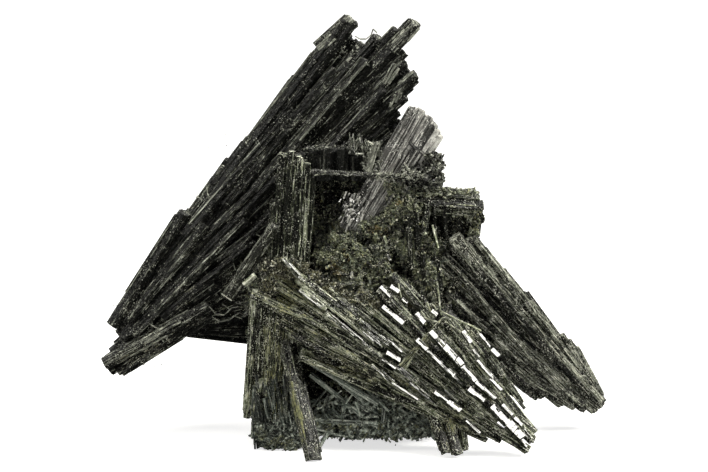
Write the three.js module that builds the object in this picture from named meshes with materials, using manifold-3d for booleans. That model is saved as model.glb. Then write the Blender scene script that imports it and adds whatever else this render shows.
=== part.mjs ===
// A cluster of black tourmaline (schorl): sprays of long ribbed prisms that grew out of a drusy core.
// Millimetres, +Z up, +X to the right of the front, +Y to the back. The cluster stands on z = 0, and
// its origin is under the middle of its box.
// Crystals that overlap are joined in one solid. What grows against them is cut back, so that a seam
// is left between two solids.

import * as THREE from "three";
import { ConvexGeometry } from "three/addons/geometries/ConvexGeometry.js";
import { mergeVertices } from "three/addons/utils/BufferGeometryUtils.js";
import Module from "manifold-3d";

const wasm = await Module();
wasm.setup();

// ---------------------------------------------------------------- driving dimensions

// Crystals are laid out on a front sheet that leans back from upright by LEAN. "Across" and "up" are
// read on that sheet, and y says how far back a crystal really is.
const LEAN = THREE.MathUtils.degToRad(12);
const CENTRE = { x: -0.23, y: 2.65 }; // from the layout's origin to the middle of the cluster's box
const SEAM = 0.35; // clearance between two solids that grow against each other
const WEAR = 0.25; // edges shorter than this are worn off the joined solids
const CORNER = THREE.MathUtils.degToRad(19); // half the angle that a narrow prism face takes up
const THIN_EDGE = 0.8; // how much a spray thins towards its first and last row
const END_SLANT = 0.5; // steepest slope of a crystal's end face
const HEART_FROM = [0.5, 0.6]; // where a heart crystal starts, as a share of its row
const HEART_SHORT = [0.04, 0.14]; // how far it stops short of the row's end, as a share
const BACK_FROM = [0, 0.12];
const BACK_SHORT = [0, 0.1];
const BACK_WIDE = { 1: 1.15, 2: 1.7, 3: 2.2 }; // a back crystal's width, by how many rows it backs
const PACKED = [0.05, 0.84]; // from where to where, along its crystals, a spray is packed solid
const PACK_DEPTH = 0.88; // how deep the packing is, as a share of the spray's thickness
const ROOM_ROWS = 7; // how many rows of a spray share one pocket in what grows against it

// A spray is a fan of crystals round its tip. "root" is how deep its middle lies at the tip and how
// thick half the spray is there, and "end" is the same at its reach. A row is one crystal of its front
// layer: across and up of the crystal's root, across and up of its end, its width, and how far it
// stands in front of the layer (0 if left out). "hearts" layers of thick crystals fill the end of the
// spray between its front and its back, where a crystal backs every backStep rows.

const LEFT_SPRAY = {
  seed: 11,
  color: "#1c1d1b",
  tip: [-49, 19],
  reach: 85,
  root: { y: 3, half: 2.4 },
  end: { y: 8, half: 5.6 },
  hearts: 1,
  heartWide: 6,
  backStep: 2,
  packed: true,
  taper: 0.5,
  rows: [
    [-45, 15, -22.8, 30.2, 1.8],
    [-50, 14.6, -18.4, 36.8, 2.4],
    [-49.6, 16, -14.8, 42, 2.6],
    [-48.6, 17.6, 8.8, 65.6, 2.4],
    [-47.6, 18.8, 12.2, 72, 3.2],
    [-34.8, 30.6, 10, 75.6, 2.4],
    [-46.4, 20.6, -10.8, 57.6, 3.6, 1.2],
    [-47.4, 22.2, 12, 83.2, 3.8],
    [-40.8, 29.6, 8.2, 82, 2.2],
    [-36.6, 35, 4.4, 80, 2.4, 0.6],
    [-32.6, 39.4, 1.2, 78, 2.2],
    [-47.2, 22.8, -0.7, 83.4, 4, 0.5],
    [-42.8, 30.6, -4, 81.6, 2.8],
    [-37.8, 37, -6.3, 78.2, 2, 0.5],
    [-39.8, 33.9, -11.7, 72.6, 2],
    [-46.4, 25.4, -19, 62.8, 1.8],
    [-42.8, 31.3, -25.4, 55.8, 1.8],
    [-47.4, 24.2, -31.8, 46.8, 1.8],
    [-48, 23, -34.5, 45.2, 2.4],
  ],
};

const FRONT_SPRAY = {
  seed: 23,
  color: "#33342c",
  tip: [35, -1],
  reach: 62,
  root: { y: -13.5, half: 1.4 },
  end: { y: -11, half: 3 },
  hearts: 0,
  backStep: 3,
  packed: true,
  taper: 0.5,
  rows: [
    [26.4, 0, -10.8, 16.8, 1.6],
    [29.2, -0.2, -12.4, 21.2, 1.8],
    [32, -0.8, -20, 28.8, 1.8, 0.6],
    [30.8, 0, -17.6, 32.8, 2.2],
    [26, 4.2, -14.8, 35.6, 2],
    [28.8, 1.2, -12.8, 36.4, 2],
    [23, 7.1, -10.8, 32.8, 2, 0.5],
    [29.2, 2.4, -4.8, 30.4, 1.6],
    [28.6, 3.9, 0.4, 28.8, 1.8],
    [35.2, -0.4, 4.8, 30, 2, 0.4],
    [33.6, 2.4, 7.6, 33.2, 2],
    [36, 0.4, 13.2, 28.8, 1.6],
    [35.6, 2.4, 17.2, 25.6, 1.4],
    [34, 6.4, 19.6, 24.4, 1.4],
    [33.6, 7.6, 23.6, 22.8, 1.2],
  ],
};

const RIGHT_SPRAY = {
  seed: 37,
  color: "#2a2b26",
  tip: [50.4, 6.6],
  reach: 44,
  root: { y: 9, half: 2.2 },
  end: { y: 0.5, half: 4.6 },
  hearts: 1,
  heartWide: 4.2,
  backStep: 2,
  packed: true,
  taper: 0.5,
  rows: [
    [36.8, 8, 24, 18.6, 1.8],
    [41.6, 6.6, 20, 24.4, 1.8],
    [44, 6.8, 18, 29.4, 2],
    [46, 5.8, 17.4, 32, 2.2],
    [48, 5.6, 17, 34.8, 2],
    [44.5, 10.7, 18, 37, 2],
    [49.2, 7.4, 19.6, 39.6, 3, 0.2],
    [50.4, 7.4, 22.6, 40.2, 2],
    [45.8, 13.3, 23.8, 40.6, 2],
    [49.2, 9.8, 41.8, 21, 1.6],
    [50.2, 8.6, 44.8, 18.4, 1.4],
  ],
};

const UPRIGHT_COLUMN = {
  seed: 41,
  color: "#24251f",
  tip: [-17, -1.6],
  reach: 59,
  root: { y: -4.5, half: 3.6 },
  end: { y: -3, half: 2.8 },
  hearts: 1,
  heartWide: 4,
  backStep: 2,
  packed: true,
  taper: 1,
  rows: [
    [-21.4, 4.4, -19.6, 30, 2],
    [-19.8, 0.8, -17.2, 35.6, 2.4],
    [-18, -1.4, -14.2, 56.8, 2.4],
    [-16.4, -1.8, -12.4, 57.6, 2.2],
    [-14.8, -1.8, -10.8, 56.4, 2.2],
    [-13.2, -1.2, -9.2, 55.2, 2],
    [-12, 3, -8, 53.6, 1.6],
  ],
};

const GREY_BLADE = {
  seed: 53,
  color: "#55555a",
  tip: [1, 42],
  reach: 27,
  root: { y: -5, half: 0.8 },
  end: { y: -4.4, half: 0.9 },
  hearts: 0,
  backStep: 1,
  packed: false,
  taper: 0.9,
  rows: [
    [-2, 42.4, 11.4, 66, 2.6],
    [0, 42, 13.2, 65.6, 2.6],
    [2.4, 42.4, 15.6, 63.2, 2.8],
    [5.6, 44, 16.8, 60.8, 2.2],
  ],
};

const BACK_SPRAY = {
  seed: 61,
  color: "#1c1d1b",
  tip: [-36.4, 22],
  reach: 21,
  root: { y: 13, half: 0.7 },
  end: { y: 8, half: 1.6 },
  hearts: 0,
  backStep: 2,
  packed: true,
  taper: 0.6,
  rows: [
    [-35.2, 23.4, -15, 28, 2.4],
    [-36.4, 22.2, -14, 24.8, 2.6],
    [-35.6, 21.4, -14, 22, 2.6],
    [-33.6, 20.8, -15, 19, 2.2],
  ],
};

const ARCH_BUNDLE = {
  seed: 67,
  color: "#1d1e1c",
  tip: [-4, 52],
  reach: 7,
  root: { y: -4, half: 0.8 },
  end: { y: -3.6, half: 0.8 },
  hearts: 0,
  backStep: 3,
  packed: false,
  taper: 1,
  rows: [
    [-8.2, 52, -8, 57.4, 3],
    [-5.4, 52, -5.4, 58.1, 3.4],
    [-2.4, 52, -2.4, 58, 3.4],
    [0.4, 52, 0.4, 56.8, 3],
    [1.6, 51.6, 4.6, 58.6, 2.4],
  ],
};

const SIDE_STUB = {
  seed: 71,
  color: "#34342a",
  tip: [12, 48],
  reach: 14,
  root: { y: -3, half: 0.9 },
  end: { y: -4, half: 0.9 },
  hearts: 0,
  backStep: 1,
  packed: false,
  taper: 1,
  rows: [
    [12, 50, 24.8, 48.6, 2.6],
    [12.4, 48, 25.6, 46.8, 2.8],
    [12, 46.4, 24, 45.6, 2.2],
  ],
};

// A single crystal runs from its lower or left end to its other end.
const FOOT_CRYSTAL = {
  color: "#2b2b20",
  across: [-8, -13.6],
  up: [-3.8, 19.4],
  y: [-19.4, -7.4],
  wide: 3.6,
};
const CROSS_NEEDLE = {
  color: "#3d3d38",
  across: [-8.6, 14.8],
  up: [53.6, 52.2],
  y: [-8, -7.6],
  wide: 1.3,
};
const LEANING_PRISM = {
  color: "#30332f",
  across: [-25.4, -15.6],
  up: [28.6, 42.8],
  y: [-4, -6.6],
  wide: 2.8,
};

// Short crystals grown on the front spray's underside, which it stands on.
const FRONT_FEET = [
  { across: [18.4, 15], up: [-2.2, 8], y: [-16.6, -12], wide: 2.6 },
  { across: [20.6, 18], up: [-2.4, 7], y: [-17, -12], wide: 2.8 },
  { across: [22, 21], up: [-1.6, 6], y: [-14.6, -12], wide: 2.2 },
];

// The core is a heap of rough lumps. "middle" and "half" are x, y and z, and detail is how finely a
// lump is faceted.
const CORE = {
  seed: 100,
  color: "#45453a",
  rough: 0.1, // how far its surface goes in and out, as a share of its radius
  lumps: [
    { middle: [4, -0.5, 32], half: [18.5, 9.5, 15], detail: 3 },
    { middle: [14, 2, 42], half: [9.5, 5.5, 10], detail: 2 },
    { middle: [1, 2.5, 49], half: [11, 6.5, 10], detail: 2 },
    { middle: [-12, 4, 32], half: [11.5, 6, 15], detail: 2 },
    { middle: [4, 2, 10], half: [18, 10.5, 15], detail: 2 },
  ],
};

// ---------------------------------------------------------------- shapes

// Seeded numbers, so that the cluster comes out the same every time.
function dice(seed) {
  let state = seed;
  return (low, high) => {
    state = (Math.imul(state, 1664525) + 1013904223) >>> 0;
    return low + ((high - low) * state) / 2 ** 32;
  };
}

// A point given by its place on the front sheet and its real depth.
function at(across, up, y) {
  return new THREE.Vector3(across, y, (up - y * Math.sin(LEAN)) / Math.cos(LEAN));
}

// Tourmaline's section is a triangle with its corners cut off: three wide faces, three narrow ones.
function crystalSection(wide) {
  const corners = [];
  for (let side = 0; side < 3; side++) {
    for (const turn of [-CORNER, CORNER]) {
      const angle = (side * 2 * Math.PI) / 3 + turn;
      corners.push(new THREE.Vector2(Math.cos(angle), Math.sin(angle)).multiplyScalar(wide / 2));
    }
  }
  return new THREE.Shape(corners);
}

// One prism. taper is its width at the root as a share of its width at the end, and slant tilts its
// end face. swell makes it thicker and longer all round, for the room that it takes up.
function prismGeometry({ from, to, wide, taper, roll, slant }, swell) {
  const along = to.clone().sub(from);
  const length = along.length() + 2 * swell;
  along.normalize();
  const geometry = new THREE.ExtrudeGeometry(crystalSection(wide + 2 * swell), {
    depth: length,
    bevelEnabled: false,
  });
  const place = geometry.getAttribute("position");
  for (let i = 0; i < place.count; i++) {
    const isRoot = place.getZ(i) < length / 2;
    if (isRoot) place.setXY(i, place.getX(i) * taper, place.getY(i) * taper);
    else place.setZ(i, length + place.getX(i) * slant);
  }
  geometry.rotateZ(roll);
  const upright = new THREE.Vector3(0, 0, 1);
  geometry.applyQuaternion(new THREE.Quaternion().setFromUnitVectors(upright, along));
  const start = from.clone().addScaledVector(along, -swell);
  return geometry.translate(start.x, start.y, start.z);
}

function singleCrystal({ across, up, y, wide }) {
  return {
    place: 0,
    from: at(across[0], up[0], y[0]),
    to: at(across[1], up[1], y[1]),
    wide,
    taper: 1,
    roll: wide,
    slant: END_SLANT / 2,
  };
}

// A point of a spray, by its place on the front sheet. side runs from -1 at the front layer to 1 at
// the back one, and the layers close in towards the spray's first and last row.
function inSpray(spray, across, up, place, side, forward) {
  const out = Math.hypot(across - spray.tip[0], up - spray.tip[1]) / spray.reach;
  const middle = THREE.MathUtils.lerp(spray.root.y, spray.end.y, out);
  const half = THREE.MathUtils.lerp(spray.root.half, spray.end.half, out);
  const edge = (2 * place) / (spray.rows.length - 1) - 1;
  return at(across, up, middle + side * half * Math.sqrt(1 - THIN_EDGE * edge * edge) - forward);
}

// The crystals of a spray: its front layer row by row, its back layer, and its hearts.
function sprayCrystals(spray) {
  const roll = dice(spray.seed);
  const crystals = [];
  const last = spray.rows.length - 1;
  const layers = spray.hearts + 2;

  function grow(place, layer, wide, rootShift, endShift) {
    const low = spray.rows[Math.floor(place)];
    const high = spray.rows[Math.ceil(place)];
    const [across0, up0, across1, up1] = low.map((value, k) => (value + high[k]) / 2);
    const side = -1 + (2 * layer) / (layers - 1);
    const forward = layer === 0 ? (low[5] ?? 0) : 0;
    const root = inSpray(spray, across0, up0, place, side, forward);
    const end = inSpray(spray, across1, up1, place, side, forward);
    crystals.push({
      place,
      from: root.clone().lerp(end, rootShift),
      to: end.clone().lerp(root, endShift),
      wide,
      taper: spray.taper,
      roll: roll(0, 2 * Math.PI),
      slant: roll(-END_SLANT, END_SLANT),
    });
  }

  for (let i = 0; i <= last; i++) grow(i, 0, spray.rows[i][4], 0, 0);
  for (let i = 0; i < last; i += spray.backStep) {
    const wide = ((spray.rows[i][4] + spray.rows[i + 1][4]) / 2) * BACK_WIDE[spray.backStep];
    grow(i + 0.5, layers - 1, wide, roll(...BACK_FROM), roll(...BACK_SHORT));
  }
  for (let heart = 1; heart <= spray.hearts; heart++) {
    for (let i = 1; i < last; i += 2) {
      grow(i, heart, spray.heartWide, roll(...HEART_FROM), roll(...HEART_SHORT));
    }
  }
  return crystals;
}

// The packed inside of a spray, which shows only between its crystals. swell makes it thicker all
// round, for the room that it takes up.
function packingGeometry(spray, swell) {
  const points = [];
  const corner = new THREE.BoxGeometry(2 * swell, 2 * swell, 2 * swell).getAttribute("position");
  spray.rows.forEach(([across0, up0, across1, up1], i) => {
    for (const side of [-PACK_DEPTH, PACK_DEPTH]) {
      const root = inSpray(spray, across0, up0, i, side, 0);
      const end = inSpray(spray, across1, up1, i, side, 0);
      for (const share of PACKED) {
        const middle = root.clone().lerp(end, share);
        for (let k = 0; k < corner.count; k++) {
          points.push(new THREE.Vector3().fromBufferAttribute(corner, k).add(middle));
        }
      }
    }
  });
  return new ConvexGeometry(points);
}

function lumpGeometry({ middle, half, detail }, seed) {
  const roll = dice(seed);
  const bare = new THREE.IcosahedronGeometry(1, detail);
  bare.deleteAttribute("normal");
  bare.deleteAttribute("uv");
  const ball = mergeVertices(bare);
  const place = ball.getAttribute("position");
  for (let i = 0; i < place.count; i++) {
    const out = 1 + roll(-CORE.rough, CORE.rough);
    place.setXYZ(i, place.getX(i) * out, place.getY(i) * out, place.getZ(i) * out);
  }
  return ball.scale(...half).translate(...middle);
}

// ---------------------------------------------------------------- joining and cutting

function solidOf(geometry) {
  geometry.deleteAttribute("normal");
  geometry.deleteAttribute("uv");
  const welded = mergeVertices(geometry);
  const vertProperties = new Float32Array(welded.getAttribute("position").array);
  const triVerts = new Uint32Array(welded.index.array);
  return new wasm.Manifold(new wasm.Mesh({ numProp: 3, vertProperties, triVerts }));
}

function joined(geometries) {
  return geometries.map(solidOf).reduce((all, one) => all.add(one));
}

// The room that crystals take up, with a seam round it. It is taken a few rows at a time, so that it
// follows the outline of a spray.
function roomOf(crystals) {
  const pockets = [];
  for (const crystal of crystals) {
    const pocket = Math.floor(crystal.place / ROOM_ROWS);
    pockets[pocket] ??= [];
    const place = prismGeometry(crystal, SEAM).getAttribute("position");
    for (let i = 0; i < place.count; i++) {
      pockets[pocket].push(new THREE.Vector3().fromBufferAttribute(place, i));
    }
  }
  return joined(pockets.map((points) => new ConvexGeometry(points)));
}

// The largest body of a solid, without loose crumbs and sealed hollows.
function largestBody(solid) {
  return solid.decompose().reduce((best, one) => (one.volume() > best.volume() ? one : best));
}

// ---------------------------------------------------------------- the pieces

const cluster = new THREE.Group();
cluster.position.set(CENTRE.x, CENTRE.y, 0);

const belowFloor = solidOf(new THREE.BoxGeometry(200, 200, 50).translate(0, 0, -25));
const rooms = []; // what the pieces made so far take up

function addPiece(name, solid, color, roughness) {
  let cut = solid.subtract(belowFloor);
  for (const room of rooms) cut = cut.subtract(room);
  const { vertProperties, triVerts } = largestBody(largestBody(cut).simplify(WEAR)).getMesh();
  const geometry = new THREE.BufferGeometry();
  geometry.setAttribute("position", new THREE.BufferAttribute(new Float32Array(vertProperties), 3));
  geometry.setIndex(new THREE.BufferAttribute(new Uint32Array(triVerts), 1));
  geometry.computeVertexNormals();
  const material = new THREE.MeshStandardMaterial({ color, roughness, metalness: 0 });
  material.flatShading = true;
  const piece = new THREE.Mesh(geometry, material);
  piece.name = name;
  cluster.add(piece);
}

function addSpray(name, spray, extra = []) {
  const crystals = [...sprayCrystals(spray), ...extra.map(singleCrystal)];
  const geometries = crystals.map((crystal) => prismGeometry(crystal, 0));
  if (spray.packed) geometries.push(packingGeometry(spray, 0));
  addPiece(name, joined(geometries), spray.color, 0.3);
  rooms.push(roomOf(crystals));
  if (spray.packed) rooms.push(solidOf(packingGeometry(spray, SEAM)));
}

function addSingle(name, crystal) {
  addPiece(name, solidOf(prismGeometry(singleCrystal(crystal), 0)), crystal.color, 0.3);
  rooms.push(roomOf([singleCrystal(crystal)]));
}

addSpray("left_spray", LEFT_SPRAY);
addSpray("front_spray", FRONT_SPRAY, FRONT_FEET);
addSpray("right_spray", RIGHT_SPRAY);
addSpray("upright_column", UPRIGHT_COLUMN);
addSpray("grey_blade", GREY_BLADE);
addSpray("back_spray", BACK_SPRAY);
addSpray("arch_bundle", ARCH_BUNDLE);
addSpray("side_stub", SIDE_STUB);
addSingle("foot_crystal", FOOT_CRYSTAL);
addSingle("cross_needle", CROSS_NEEDLE);
addSingle("leaning_prism", LEANING_PRISM);

const lumps = CORE.lumps.map((lump, i) => lumpGeometry(lump, CORE.seed + i));
addPiece("drusy_core", joined(lumps), CORE.color, 0.9);

export default cluster;
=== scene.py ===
import math

import bmesh
import bpy
import numpy as np
from mathutils.bvhtree import BVHTree
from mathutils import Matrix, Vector, noise


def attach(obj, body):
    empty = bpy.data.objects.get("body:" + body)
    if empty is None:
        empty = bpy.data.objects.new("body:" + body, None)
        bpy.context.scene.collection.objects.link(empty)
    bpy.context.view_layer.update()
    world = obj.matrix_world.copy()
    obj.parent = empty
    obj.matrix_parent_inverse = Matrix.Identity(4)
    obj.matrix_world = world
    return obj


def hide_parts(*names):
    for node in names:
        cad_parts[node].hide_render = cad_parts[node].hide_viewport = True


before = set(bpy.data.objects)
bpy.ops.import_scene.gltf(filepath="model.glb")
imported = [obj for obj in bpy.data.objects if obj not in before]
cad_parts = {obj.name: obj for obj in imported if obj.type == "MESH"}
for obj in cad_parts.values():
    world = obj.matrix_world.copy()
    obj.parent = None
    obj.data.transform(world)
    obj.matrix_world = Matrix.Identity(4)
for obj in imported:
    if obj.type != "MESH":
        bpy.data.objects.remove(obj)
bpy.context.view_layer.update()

# ---------------------------------------------------------------- the core
# A rough lump of small grown-together tourmalines, stained olive and rusty by iron oxides. Every spray
# started on it. Its pits are the gaps that the sprays left. It is one lump, covered all over with grains.

MM = 0.001
LEAN = math.radians(12)  # how far the front sheet that the crystals are laid out on leans back
CENTRE = np.array([-0.23, 2.65, 0.0])  # from the layout's origin to the cluster's own origin, in mm
TOWARDS_FRONT = np.array([0.0, -math.cos(LEAN), math.sin(LEAN)])

# The lumps: middle and half size in x, y and z, in mm.
CORE_LUMPS = [
    ([4, -0.5, 32], [18.5, 9.5, 15]),
    ([14, 2, 42], [9.5, 5.5, 10]),
    ([1, 2.5, 49], [11, 6.5, 10]),
    ([-12, 4, 32], [11.5, 6, 15]),
    ([4, 2, 10], [18, 10.5, 15]),
]
GRAIN_SIZE = 0.6  # mm, the facets of the bare lump
LUMPS_APART, LUMPS_HIGH = 5.0, 1.5  # mm
GRAINS_APART, GRAINS_HIGH = 1.1, 0.7  # mm
DRAWN_IN = 0.9  # mm, which leaves room for the lumps and the grains
UNDERCUT_HIGH = 4.0  # mm above the floor
UNDERCUT_DEEP = 7.0  # mm, at the floor
# Pits in its front, in mm: across and up on the front sheet, half width, half height and depth.
CORE_PITS = [
    (-4.5, 49, 3.8, 3.8, 5),
    (8.3, 34.6, 1.5, 3, 4),
    (10.5, 33.5, 1.8, 1.6, 3),
    (-9.5, 37, 1.5, 7, 3),
    (-6.5, 33, 1.8, 2.4, 3),
    (2, 39.5, 1, 1.4, 2),
    (18.5, 43.5, 5.5, 3, 4),
    (19.7, 28.2, 2.8, 2.2, 4),
    (-6.5, 12.5, 6.5, 6, 6),
    (4.5, 14, 6, 4.5, 4),
    (6, 25, 4, 2, 3),
]


def at(across, up, y):
    """A point in mm, by its place on the leaning front sheet and its real depth."""
    return np.array([across, y, (up - y * math.sin(LEAN)) / math.cos(LEAN)]) + CENTRE


def unit(vector):
    return vector / np.linalg.norm(vector)


def on_sheet(places):
    """Across and up on the front sheet, for points in mm."""
    x, y, z = (places - CENTRE).T
    return x, z * math.cos(LEAN) + y * math.sin(LEAN)


def finish_piece(piece, slot, *nodes):
    """The piece rides on the cluster and stands for its CAD nodes, which are hidden. Its slot is not used."""
    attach(piece, "root")
    if nodes:
        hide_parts(*nodes)


def core_mesh():
    bm = bmesh.new()
    for middle, half in CORE_LUMPS:
        ball = bmesh.ops.create_icosphere(bm, subdivisions=4, radius=1)["verts"]
        bmesh.ops.scale(bm, vec=Vector(half) * MM, verts=ball)
        bmesh.ops.translate(bm, vec=Vector(np.array(middle) + CENTRE) * MM, verts=ball)
    rough = bpy.data.meshes.new("core_lumps")
    bm.to_mesh(rough)
    bm.free()
    lump = bpy.data.objects.new("core_lumps", rough)
    bpy.context.scene.collection.objects.link(lump)
    remesh = lump.modifiers.new("remesh", "REMESH")
    remesh.mode = "VOXEL"
    remesh.voxel_size = GRAIN_SIZE * MM
    remeshed = bpy.data.meshes.new_from_object(lump.evaluated_get(bpy.context.evaluated_depsgraph_get()))
    bpy.data.objects.remove(lump)
    return remeshed


def roughen_core(mesh):
    """Lumps, grains and pits, by moving the points in and out."""
    places = np.zeros(len(mesh.vertices) * 3)
    normals = np.zeros(len(mesh.vertices) * 3)
    mesh.vertices.foreach_get("co", places)
    mesh.vertices.foreach_get("normal", normals)
    places = places.reshape(-1, 3) / MM
    normals = normals.reshape(-1, 3)
    lumps = np.array([noise.fractal(Vector(p / LUMPS_APART), 1.0, 2.0, 3) for p in places])
    grains = np.array([noise.fractal(Vector(p / GRAINS_APART), 0.6, 2.0, 2) for p in places])
    places += normals * (LUMPS_HIGH * lumps + GRAINS_HIGH * grains - DRAWN_IN)[:, None]
    across, up = on_sheet(places)
    facing = np.clip(normals @ TOWARDS_FRONT, 0, 1)
    look = np.zeros((len(places), 4))
    look[:, 1] = 0.1
    for pit_across, pit_up, half_wide, half_high, deep in CORE_PITS:
        away = np.hypot((across - pit_across) / half_wide, (up - pit_up) / half_high)
        sink = deep * np.clip(1.25 - away, 0, 1) * facing
        places -= TOWARDS_FRONT * sink[:, None]
        # Less stain where the pits sink, so they show bare and black: painted shade in them.
        look[:, 1] -= sink
    # Its foot draws back at the front, behind the hanging crust.
    under = np.clip(UNDERCUT_HIGH - places[:, 2], 0, UNDERCUT_HIGH) * np.clip(-2 * normals[:, 1], 0, 1)
    places[:, 1] += under * UNDERCUT_DEEP / UNDERCUT_HIGH
    places[:, 2] = np.maximum(places[:, 2], 0)
    mesh.vertices.foreach_set("co", (places * MM).ravel())
    mesh.attributes.new("look", "FLOAT_COLOR", "POINT").data.foreach_set("color", look.ravel())
    mesh.update()


# A tourmaline's section is a triangle with its corners cut off: three wide faces and three narrow ones.
CORNER = math.radians(19)  # half the angle that a narrow prism face takes up
WIDE_FACE = 0.5 * math.cos(math.radians(60) - CORNER)  # from the axis to a wide face, for a unit crystal
NARROW_FACE = 0.5 * math.cos(CORNER)


def section_radius(angle):
    """How far a tourmaline's section reaches from its axis, for a crystal a unit wide."""
    turned = angle % math.radians(120)
    to_narrow = min(turned, math.radians(120) - turned)
    to_wide = math.radians(60) - to_narrow
    return min(NARROW_FACE / math.cos(to_narrow), WIDE_FACE / math.cos(to_wide))


def crystal_shape(corners, steps, flute, end, seed):
    """A prism a unit wide, with its loops a unit apart. flute is how deep its grooves are, and end is
    the inset and the rise of the middle of its end faces, and how ragged they are."""
    luck = np.random.default_rng(seed)
    inset, rise, ragged = end
    bm = bmesh.new()
    ring = bmesh.ops.create_circle(bm, cap_ends=True, segments=corners, radius=0.5)["verts"]
    for vert in ring:
        angle = math.atan2(vert.co.y, vert.co.x)
        if corners == 6:
            third = round(angle / math.radians(60))
            angle = math.radians(120) * (third // 2) + CORNER * (1 if third % 2 else -1)
            vert.co = Vector((math.cos(angle), math.sin(angle), 0)) / 2
        else:
            radius = section_radius(angle) * (1 - flute * luck.random())
            vert.co = Vector((math.cos(angle), math.sin(angle), 0)) * radius
    end_face = bm.faces[:][0]
    for step in range(steps):
        grown = bmesh.ops.extrude_face_region(bm, geom=[end_face])["geom"]
        if step > 0:
            bmesh.ops.delete(bm, geom=[end_face], context="FACES_ONLY")
        end_face = next(part for part in grown if isinstance(part, bmesh.types.BMFace))
        bmesh.ops.translate(bm, vec=(0, 0, 1), verts=end_face.verts[:])
        waist = 0.96 + 0.06 * luck.random()
        if step < steps - 1:
            bmesh.ops.scale(bm, vec=(waist, waist, 1), verts=end_face.verts[:])
    for vert in end_face.verts:
        vert.co.z += ragged * (2 * luck.random() - 1)
    if inset:
        bmesh.ops.inset_region(bm, faces=[end_face], thickness=inset, depth=rise)
    bmesh.ops.recalc_face_normals(bm, faces=bm.faces[:])
    shape = read_shape(bm, steps)
    bm.free()
    return shape


def read_shape(bm, steps):
    """A shape's points as shares of its length, with what is left over as the lift of its ends."""
    bm.verts.index_update()
    points = np.array([vert.co for vert in bm.verts])
    loops = np.clip(np.round(points[:, 2]), 0, steps)
    around, is_end, corners, faces = [], [], [], []
    # Extruded faces come in another order in each run, so they are sorted.
    for face in sorted(bm.faces, key=lambda face: [vert.index for vert in face.verts]):
        faces.append(np.array([vert.index for vert in face.verts]))
        corners.extend(faces[-1])
        flat = abs(face.normal.z) > 0.6
        middle = face.calc_center_median()
        turn = math.atan2(middle.y, middle.x)
        for vert in face.verts:
            angle = math.atan2(vert.co.y, vert.co.x) - turn
            around.append((turn + (angle + math.pi) % (2 * math.pi) - math.pi) / (2 * math.pi))
            is_end.append(flat)
    return {
        "x": points[:, 0],
        "y": points[:, 1],
        "share": loops / steps,
        "lift": points[:, 2] - loops,
        "faces": faces,
        "corners": np.array(corners),
        "around": np.array(around),
        "is_end": np.array(is_end),
    }


BROAD = [crystal_shape(18, 4, 0.09, (0.06, rise, 0.07), seed) for seed, rise in enumerate((0.05, -0.05, 0.1))]
SLIM = [crystal_shape(8, 3, 0.12, (0.1, rise, 0.12), seed) for seed, rise in enumerate((0.05, -0.06, 0.15))]
SMOOTH = [crystal_shape(6, 4, 0, (0.08, rise, 0.05), seed) for seed, rise in enumerate((0.04, 0.12))]
NEEDLE = [crystal_shape(5, 2, 0.1, (0, 0, 0.2), seed) for seed in range(2)]
GRAIN = [crystal_shape(4, 1, 0.3, (0, 0, 0.3), seed) for seed in range(4)]
CRUMB = [crystal_shape(4, 1, 0.4, (0, 0, 0.3), seed) for seed in range(3)]


def bundle_mesh(name, crystals, spots=()):
    """One mesh of many crystals. Its map holds millimetres round and along each crystal. "look" holds how
    light a crystal is, how dusty, where its end faces are, and how clean its faces are."""
    luck = np.random.default_rng(len(crystals))
    places, faces, maps, looks = [], [], [], []
    first = 0
    for one in crystals:
        shape = one["shape"]
        along = one["end"] - one["start"]
        length = np.linalg.norm(along)
        along = along / length
        aside = unit(np.cross(along, TOWARDS_FRONT))
        other = np.cross(along, aside)
        cosine, sine = math.cos(one["roll"]), math.sin(one["roll"])
        swell = one["wide"] * (one["taper"] + (1 - one["taper"]) * shape["share"])
        reach = shape["share"] * length + shape["lift"] * one["wide"]
        reach = reach + one["slant"] * shape["share"] ** 9 * shape["x"] * one["wide"]
        points = (
            one["start"]
            + np.outer(reach, along)
            + np.outer(shape["x"] * swell, aside * cosine + other * sine)
            + np.outer(shape["y"] * swell * one["flat"], other * cosine - aside * sine)
        )
        places.append(points)
        faces.extend([(face + first).tolist() for face in shape["faces"]])
        corner = shape["corners"]
        wall = np.column_stack([shape["around"] * 3 * one["wide"], reach[corner]])
        flat = np.column_stack([shape["x"][corner], shape["y"][corner]]) * one["wide"]
        maps.append(np.where(shape["is_end"][:, None], flat, wall) + luck.uniform(0, 90, 2))
        look = np.empty((len(corner), 4))
        look[:] = (one["shade"], one["dust"], 0, one["clean"])
        look[:, 2] = shape["is_end"]
        looks.append(look)
        first += len(points)
    places = np.concatenate(places)
    looks = np.concatenate(looks)
    across, up = on_sheet(places)
    spread = np.zeros(len(places))
    for spot_across, spot_up, radius, amount in spots:
        away = np.hypot(across - spot_across, up - spot_up) / radius
        spread += amount * np.exp(-away * away)
    places[:, 2] = np.maximum(places[:, 2], 0)
    mesh = bpy.data.meshes.new(name)
    mesh.from_pydata(places * MM, [], faces)
    corners = np.zeros(len(mesh.loops), int)
    mesh.loops.foreach_get("vertex_index", corners)
    looks[:, 1] += spread[corners]
    mesh.uv_layers.new(name="mm").data.foreach_set("uv", np.concatenate(maps).ravel())
    mesh.attributes.new("look", "FLOAT_COLOR", "CORNER").data.foreach_set("color", looks.ravel())
    return mesh


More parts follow.
